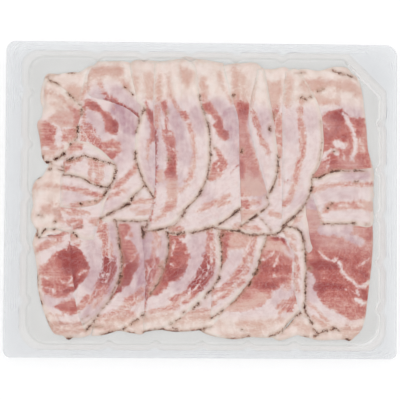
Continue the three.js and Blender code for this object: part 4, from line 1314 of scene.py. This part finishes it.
def ribPush(side, run):
    middle, pitch = trayPlan["ribs"][side]
    push = np.zeros(len(run))
    for k in range(trayPlan["ribCount"]):
        centre = middle + (k - (trayPlan["ribCount"] - 1) / 2) * pitch
        reach = np.clip((run - centre) / (trayPlan["ribLength"] / 2), -1, 1)
        push += trayPlan["ribDepth"] * np.cos(reach * np.pi / 2) ** 2
    return push


# one closed outline, anticlockwise from the front left: each side and then the corner after it
def trayRing(box, corners, ribShare, cutCorner):
    along = np.linspace(0, 1, trayPlan["sideSteps"])[:, None]
    turn = np.linspace(0, 1, trayPlan["cornerSteps"] + 2)[1:-1, None]
    left, right, front, back = (box[side] for side in ("left", "right", "front", "back"))
    spots = np.array([(left, front), (right, front), (right, back), (left, back)])
    parts = []
    for k, side in enumerate(trayPlan["ribs"]):
        after = (k + 1) % len(spots)
        radius = corners[after]
        start = spots[k] + corners[k] * inwards[k - 1]
        end = spots[after] + radius * inwards[after]
        line = start + (end - start) * along
        parts.append(line + ribShare * ribPush(side, line[:, k % 2])[:, None] * inwards[k])
        angle = np.radians(90) * (k - 1 + turn)
        arc = end + radius * (inwards[k] + np.hstack([np.cos(angle), np.sin(angle)]))
        if cutCorner and side == "right":
            arc = end + radius * (inwards[k] - inwards[after]) * turn
        parts.append(arc)
    return np.vstack(parts)


def boxBetween(first, second, share):
    return {side: first[side] + (second[side] - first[side]) * share for side in first}


def boxInset(box, inset):
    return {"left": box["left"] + inset, "right": box["right"] - inset,
            "front": box["front"] + inset, "back": box["back"] - inset}


# a skin over rings of spots, the last one drawn together to a point
def ringSkin(name, rings, sheet, finish):
    count = len(rings[0])
    piece, corners = newGrid(name, count, len(rings) - 1)
    grid = np.round(corners * (count, len(rings) - 1)).astype(int)
    spots = np.array(rings)[grid[:, 1], grid[:, 0] % count]
    piece.data.vertices.foreach_set("co", (spots / 1000).ravel())
    closeSheet(piece, sheet / 1000, sheetPlan, finish)
    return piece


def atLevel(outline, level):
    return np.column_stack([outline, np.full(len(outline), level)])


def trayRings():
    rim, top, foot = trayPlan["rim"], trayPlan["wallTop"], trayPlan["wallFoot"]
    rimCorners, wallCorners = np.array(trayPlan["rimCorners"]), np.array(trayPlan["wallCorners"])
    rings = []
    for share, drop in trayPlan["rimSteps"]:
        corners = rimCorners + (wallCorners - rimCorners) * share * trayPlan["cornerShare"]
        outline = trayRing(boxBetween(rim, top, share), corners, 0, share > trayPlan["cutFrom"])
        rings.append(atLevel(outline, trayPlan["rimLevel"] - drop))
    for share, level, rib in trayPlan["wallSteps"]:
        rings.append(atLevel(trayRing(boxBetween(top, foot, share), wallCorners, rib, True), level))
    for inset in trayPlan["floorInsets"]:
        corners = np.maximum(wallCorners - inset * trayPlan["cornerLoss"], sheetPlan["leastCorner"])
        rings.append(atLevel(trayRing(boxInset(foot, inset), corners, 0, True), trayPlan["floorLevel"]))
    rings.append(np.tile((*trayPlan["floorMiddle"], trayPlan["floorLevel"]), (len(rings[0]), 1)))
    return rings


trayLook = {
    "noises": {"cloud": ((35.0, 35.0, 35.0), 2.0), "fine": ((420.0, 420.0, 420.0), 2.0)},
    "facing": {"Blend": 0.35},
    # levels in metres between which each part of the tray starts, and those between which a line ends
    "wall": (0.001, 0.006),
    "rim": (0.0112, 0.0119),
    # painted lines: shade at the wall's foot and at its top bend, and a painted highlight along the right
    # side's foot
    "foot": ((0.0009, 0.0015), (0.0032, 0.0042)),
    "bend": ((0.0088, 0.0096), (0.0112, 0.0118)),
    "rightSide": (0.09, 0.105),
    "floorTints": (tint(212, 211, 205), tint(217, 216, 211)),
    "wallTint": tint(236, 236, 234),
    "rimTint": tint(206, 209, 214),
    "footShadeAndHighlightTints": (tint(214, 215, 212), tint(255, 255, 255)),  # the second along the right side
    "bendShadeTint": tint(212, 214, 215),
    "bendShadeShare": 0.7,
    "cover": {
        "wall": 0.08, "rim": 0.16, "facing": 0.16, "cloud": 0.02,
        "foot": 0.1, "rightFootHighlight": 0.2, "bend": 0.03,
    },
    "leastCover": 0.11,
    "rise": {"cloud": 0.8, "fine": 0.3},
    "bump": {"Strength": 0.15, "Distance": 0.0004},
    "dull": {"fine": 0.15},
    "roughness": 0.2,
}


def clearTray(plan):
    look = Finish("clearTray")
    place = look.node("ShaderNodeTexCoord", {}, {}, "Object")
    height = look.node("ShaderNodeSeparateXYZ", {}, {0: place}, 2)
    across = look.node("ShaderNodeSeparateXYZ", {}, {0: place}, 0)
    layers = {name: look.noise(place, *waves) for name, waves in plan["noises"].items()}
    layers["facing"] = look.node("ShaderNodeLayerWeight", {}, plan["facing"], "Facing")
    for name in ("wall", "rim"):
        layers[name] = look.step(height, *plan[name])
    # painted shade lines where the wall bends, the lower one a painted highlight along the right side
    for name in ("foot", "bend"):
        starts, ends = plan[name]
        layers[name] = look.step(height, *starts) - look.step(height, *ends)
    right = look.step(across, *plan["rightSide"])
    layers["rightFootHighlight"] = layers["foot"] * right
    colour = look.mix(layers["cloud"] + 0.5, *plan["floorTints"])
    colour = look.mix(layers["wall"], colour, plan["wallTint"])
    colour = look.mix(layers["rim"], colour, plan["rimTint"])
    colour = look.mix(layers["foot"], colour, look.mix(right, *plan["footShadeAndHighlightTints"]))
    colour = look.mix(layers["bend"] * plan["bendShadeShare"], colour, plan["bendShadeTint"])
    skin = {
        "Base Color": colour,
        "Roughness": weighed(layers, plan["dull"]) + plan["roughness"],
        "Alpha": weighed(layers, plan["cover"]) + plan["leastCover"],
        "Normal": look.node("ShaderNodeBump", {}, {**plan["bump"], "Height": weighed(layers, plan["rise"])}),
    }
    return look.done(look.node("ShaderNodeBsdfPrincipled", {}, skin))


tray = ringSkin("clearTrayShell", trayRings(), trayPlan["sheet"], clearTray(trayLook))
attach(tray, "root")
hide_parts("tray")
print("tray made")

# film sealed to the rim, a little slack over the well; lengths here are in millimetres
filmPlan = {
    "level": 12.58,
    "sheet": 0.25,
    "insets": (0.2, 2, 4, 6, 8, 10, 13, 17, 22, 28, 36, 46, 58, 72, 86, 96),
    "cornerLoss": 1 / 40,  # for each millimetre of inset
    "slackFrom": 10,
    "slackOver": 30,
    "dip": 0.75,
    "ripple": 0.06,
    "waveAcross": 9,
    "waveAlong": 13,
    "waveStart": 0.7,
    "sway": 1.3,
    "swayAlong": 17,
}


def filmRings(plan):
    rim, rimCorners = trayPlan["rim"], np.array(trayPlan["rimCorners"], float)
    rings = []
    for inset in plan["insets"]:
        corners = np.maximum(rimCorners - inset * plan["cornerLoss"], sheetPlan["leastCorner"])
        outline = trayRing(boxInset(rim, inset), corners, 0, False)
        slack = np.clip((inset - plan["slackFrom"]) / plan["slackOver"], 0, 1)
        sag = plan["dip"] * slack ** 2 * (3 - 2 * slack)
        x, y = outline.T
        wave = np.sin(x / plan["waveAcross"] + plan["sway"] * np.sin(y / plan["swayAlong"]))
        wave *= np.sin(y / plan["waveAlong"] + plan["waveStart"])
        rings.append(np.column_stack([outline, plan["level"] - sag + plan["ripple"] * slack * wave]))
    rings.append(np.tile((0.0, 0.0, plan["level"] - plan["dip"]), (len(rings[0]), 1)))
    return rings


filmLook = {
    "crease": ((18.0, 60.0, 1.0), 3.0),
    "tints": (tint(236, 237, 240), tint(226, 228, 232)),
    "bump": {"Strength": 0.1, "Distance": 0.0005},
    "roughness": 0.12,
    "facing": {"Blend": 0.5},
    "slantShare": 0.4,
    "creaseShare": 0.01,
    "leastShare": 0.008,
}


def clearFilm(plan):
    look = Finish("clearFilm")
    place = look.node("ShaderNodeTexCoord", {}, {}, "Object")
    crease = look.noise(place, *plan["crease"])
    skin = {
        "Base Color": look.mix(crease + 0.5, *plan["tints"]),
        "Roughness": plan["roughness"],
        "Normal": look.node("ShaderNodeBump", {}, {**plan["bump"], "Height": crease}),
    }
    shine = look.node("ShaderNodeBsdfPrincipled", {}, skin)
    through = look.node("ShaderNodeBsdfTransparent", {}, {"Color": (1, 1, 1, 1)})
    slant = look.node("ShaderNodeLayerWeight", {}, plan["facing"], "Facing")
    share = slant * slant * slant * plan["slantShare"] + crease * plan["creaseShare"] + plan["leastShare"]
    return look.done(look.node("ShaderNodeMixShader", {}, {0: share, 1: through, 2: shine}))


film = ringSkin("sealedFilm", filmRings(filmPlan), filmPlan["sheet"], clearFilm(filmLook))
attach(film, "root")
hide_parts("film")
print("film made")

# pale floor, lit a little from below, and soft light
floorPlan = {
    "size": 4,
    "level": -0.0003,
    "mottle": ((3.0, 3.0, 3.0), 2.0),
    "tints": (tint(219, 219, 219), tint(217, 217, 218)),
    "roughness": 0.9,
    "shine": 0.1,
    "glow": 0.25,
}


def paleFloor(plan):
    look = Finish("paleFloor")
    place = look.node("ShaderNodeTexCoord", {}, {}, "Object")
    skin = {
        "Base Color": look.mix(look.noise(place, *plan["mottle"]) + 0.5, *plan["tints"]),
        "Roughness": plan["roughness"],
        "Specular IOR Level": plan["shine"],
        "Emission Color": (1, 1, 1, 1),
        "Emission Strength": plan["glow"],
    }
    return look.done(look.node("ShaderNodeBsdfPrincipled", {}, skin))


bpy.ops.object.select_all(action="DESELECT")
bpy.ops.mesh.primitive_plane_add(size=floorPlan["size"], location=(0, 0, floorPlan["level"]))
floor = bpy.context.object
floor.name = "floor"
floor.data.materials.append(paleFloor(floorPlan))

lightPlan = {
    "sky": 1.0,
    "lamp": 2.9,
    "lampSize": 1.2,
    "lampPlace": (0.1, 0.3, 1.2),
    "lampTurn": (-0.25, 0.08, 0),
}
sky = bpy.data.worlds.new("softSky")
sky.use_nodes = True
sky.node_tree.nodes["Background"].inputs["Color"].default_value = (1, 1, 1, 1)
sky.node_tree.nodes["Background"].inputs["Strength"].default_value = lightPlan["sky"]
scene.world = sky
bpy.ops.object.light_add(type="AREA", location=lightPlan["lampPlace"], rotation=lightPlan["lampTurn"])
lamp = bpy.context.object
lamp.data.energy = lightPlan["lamp"]
lamp.data.size = lightPlan["lampSize"]
print("floor and light set")
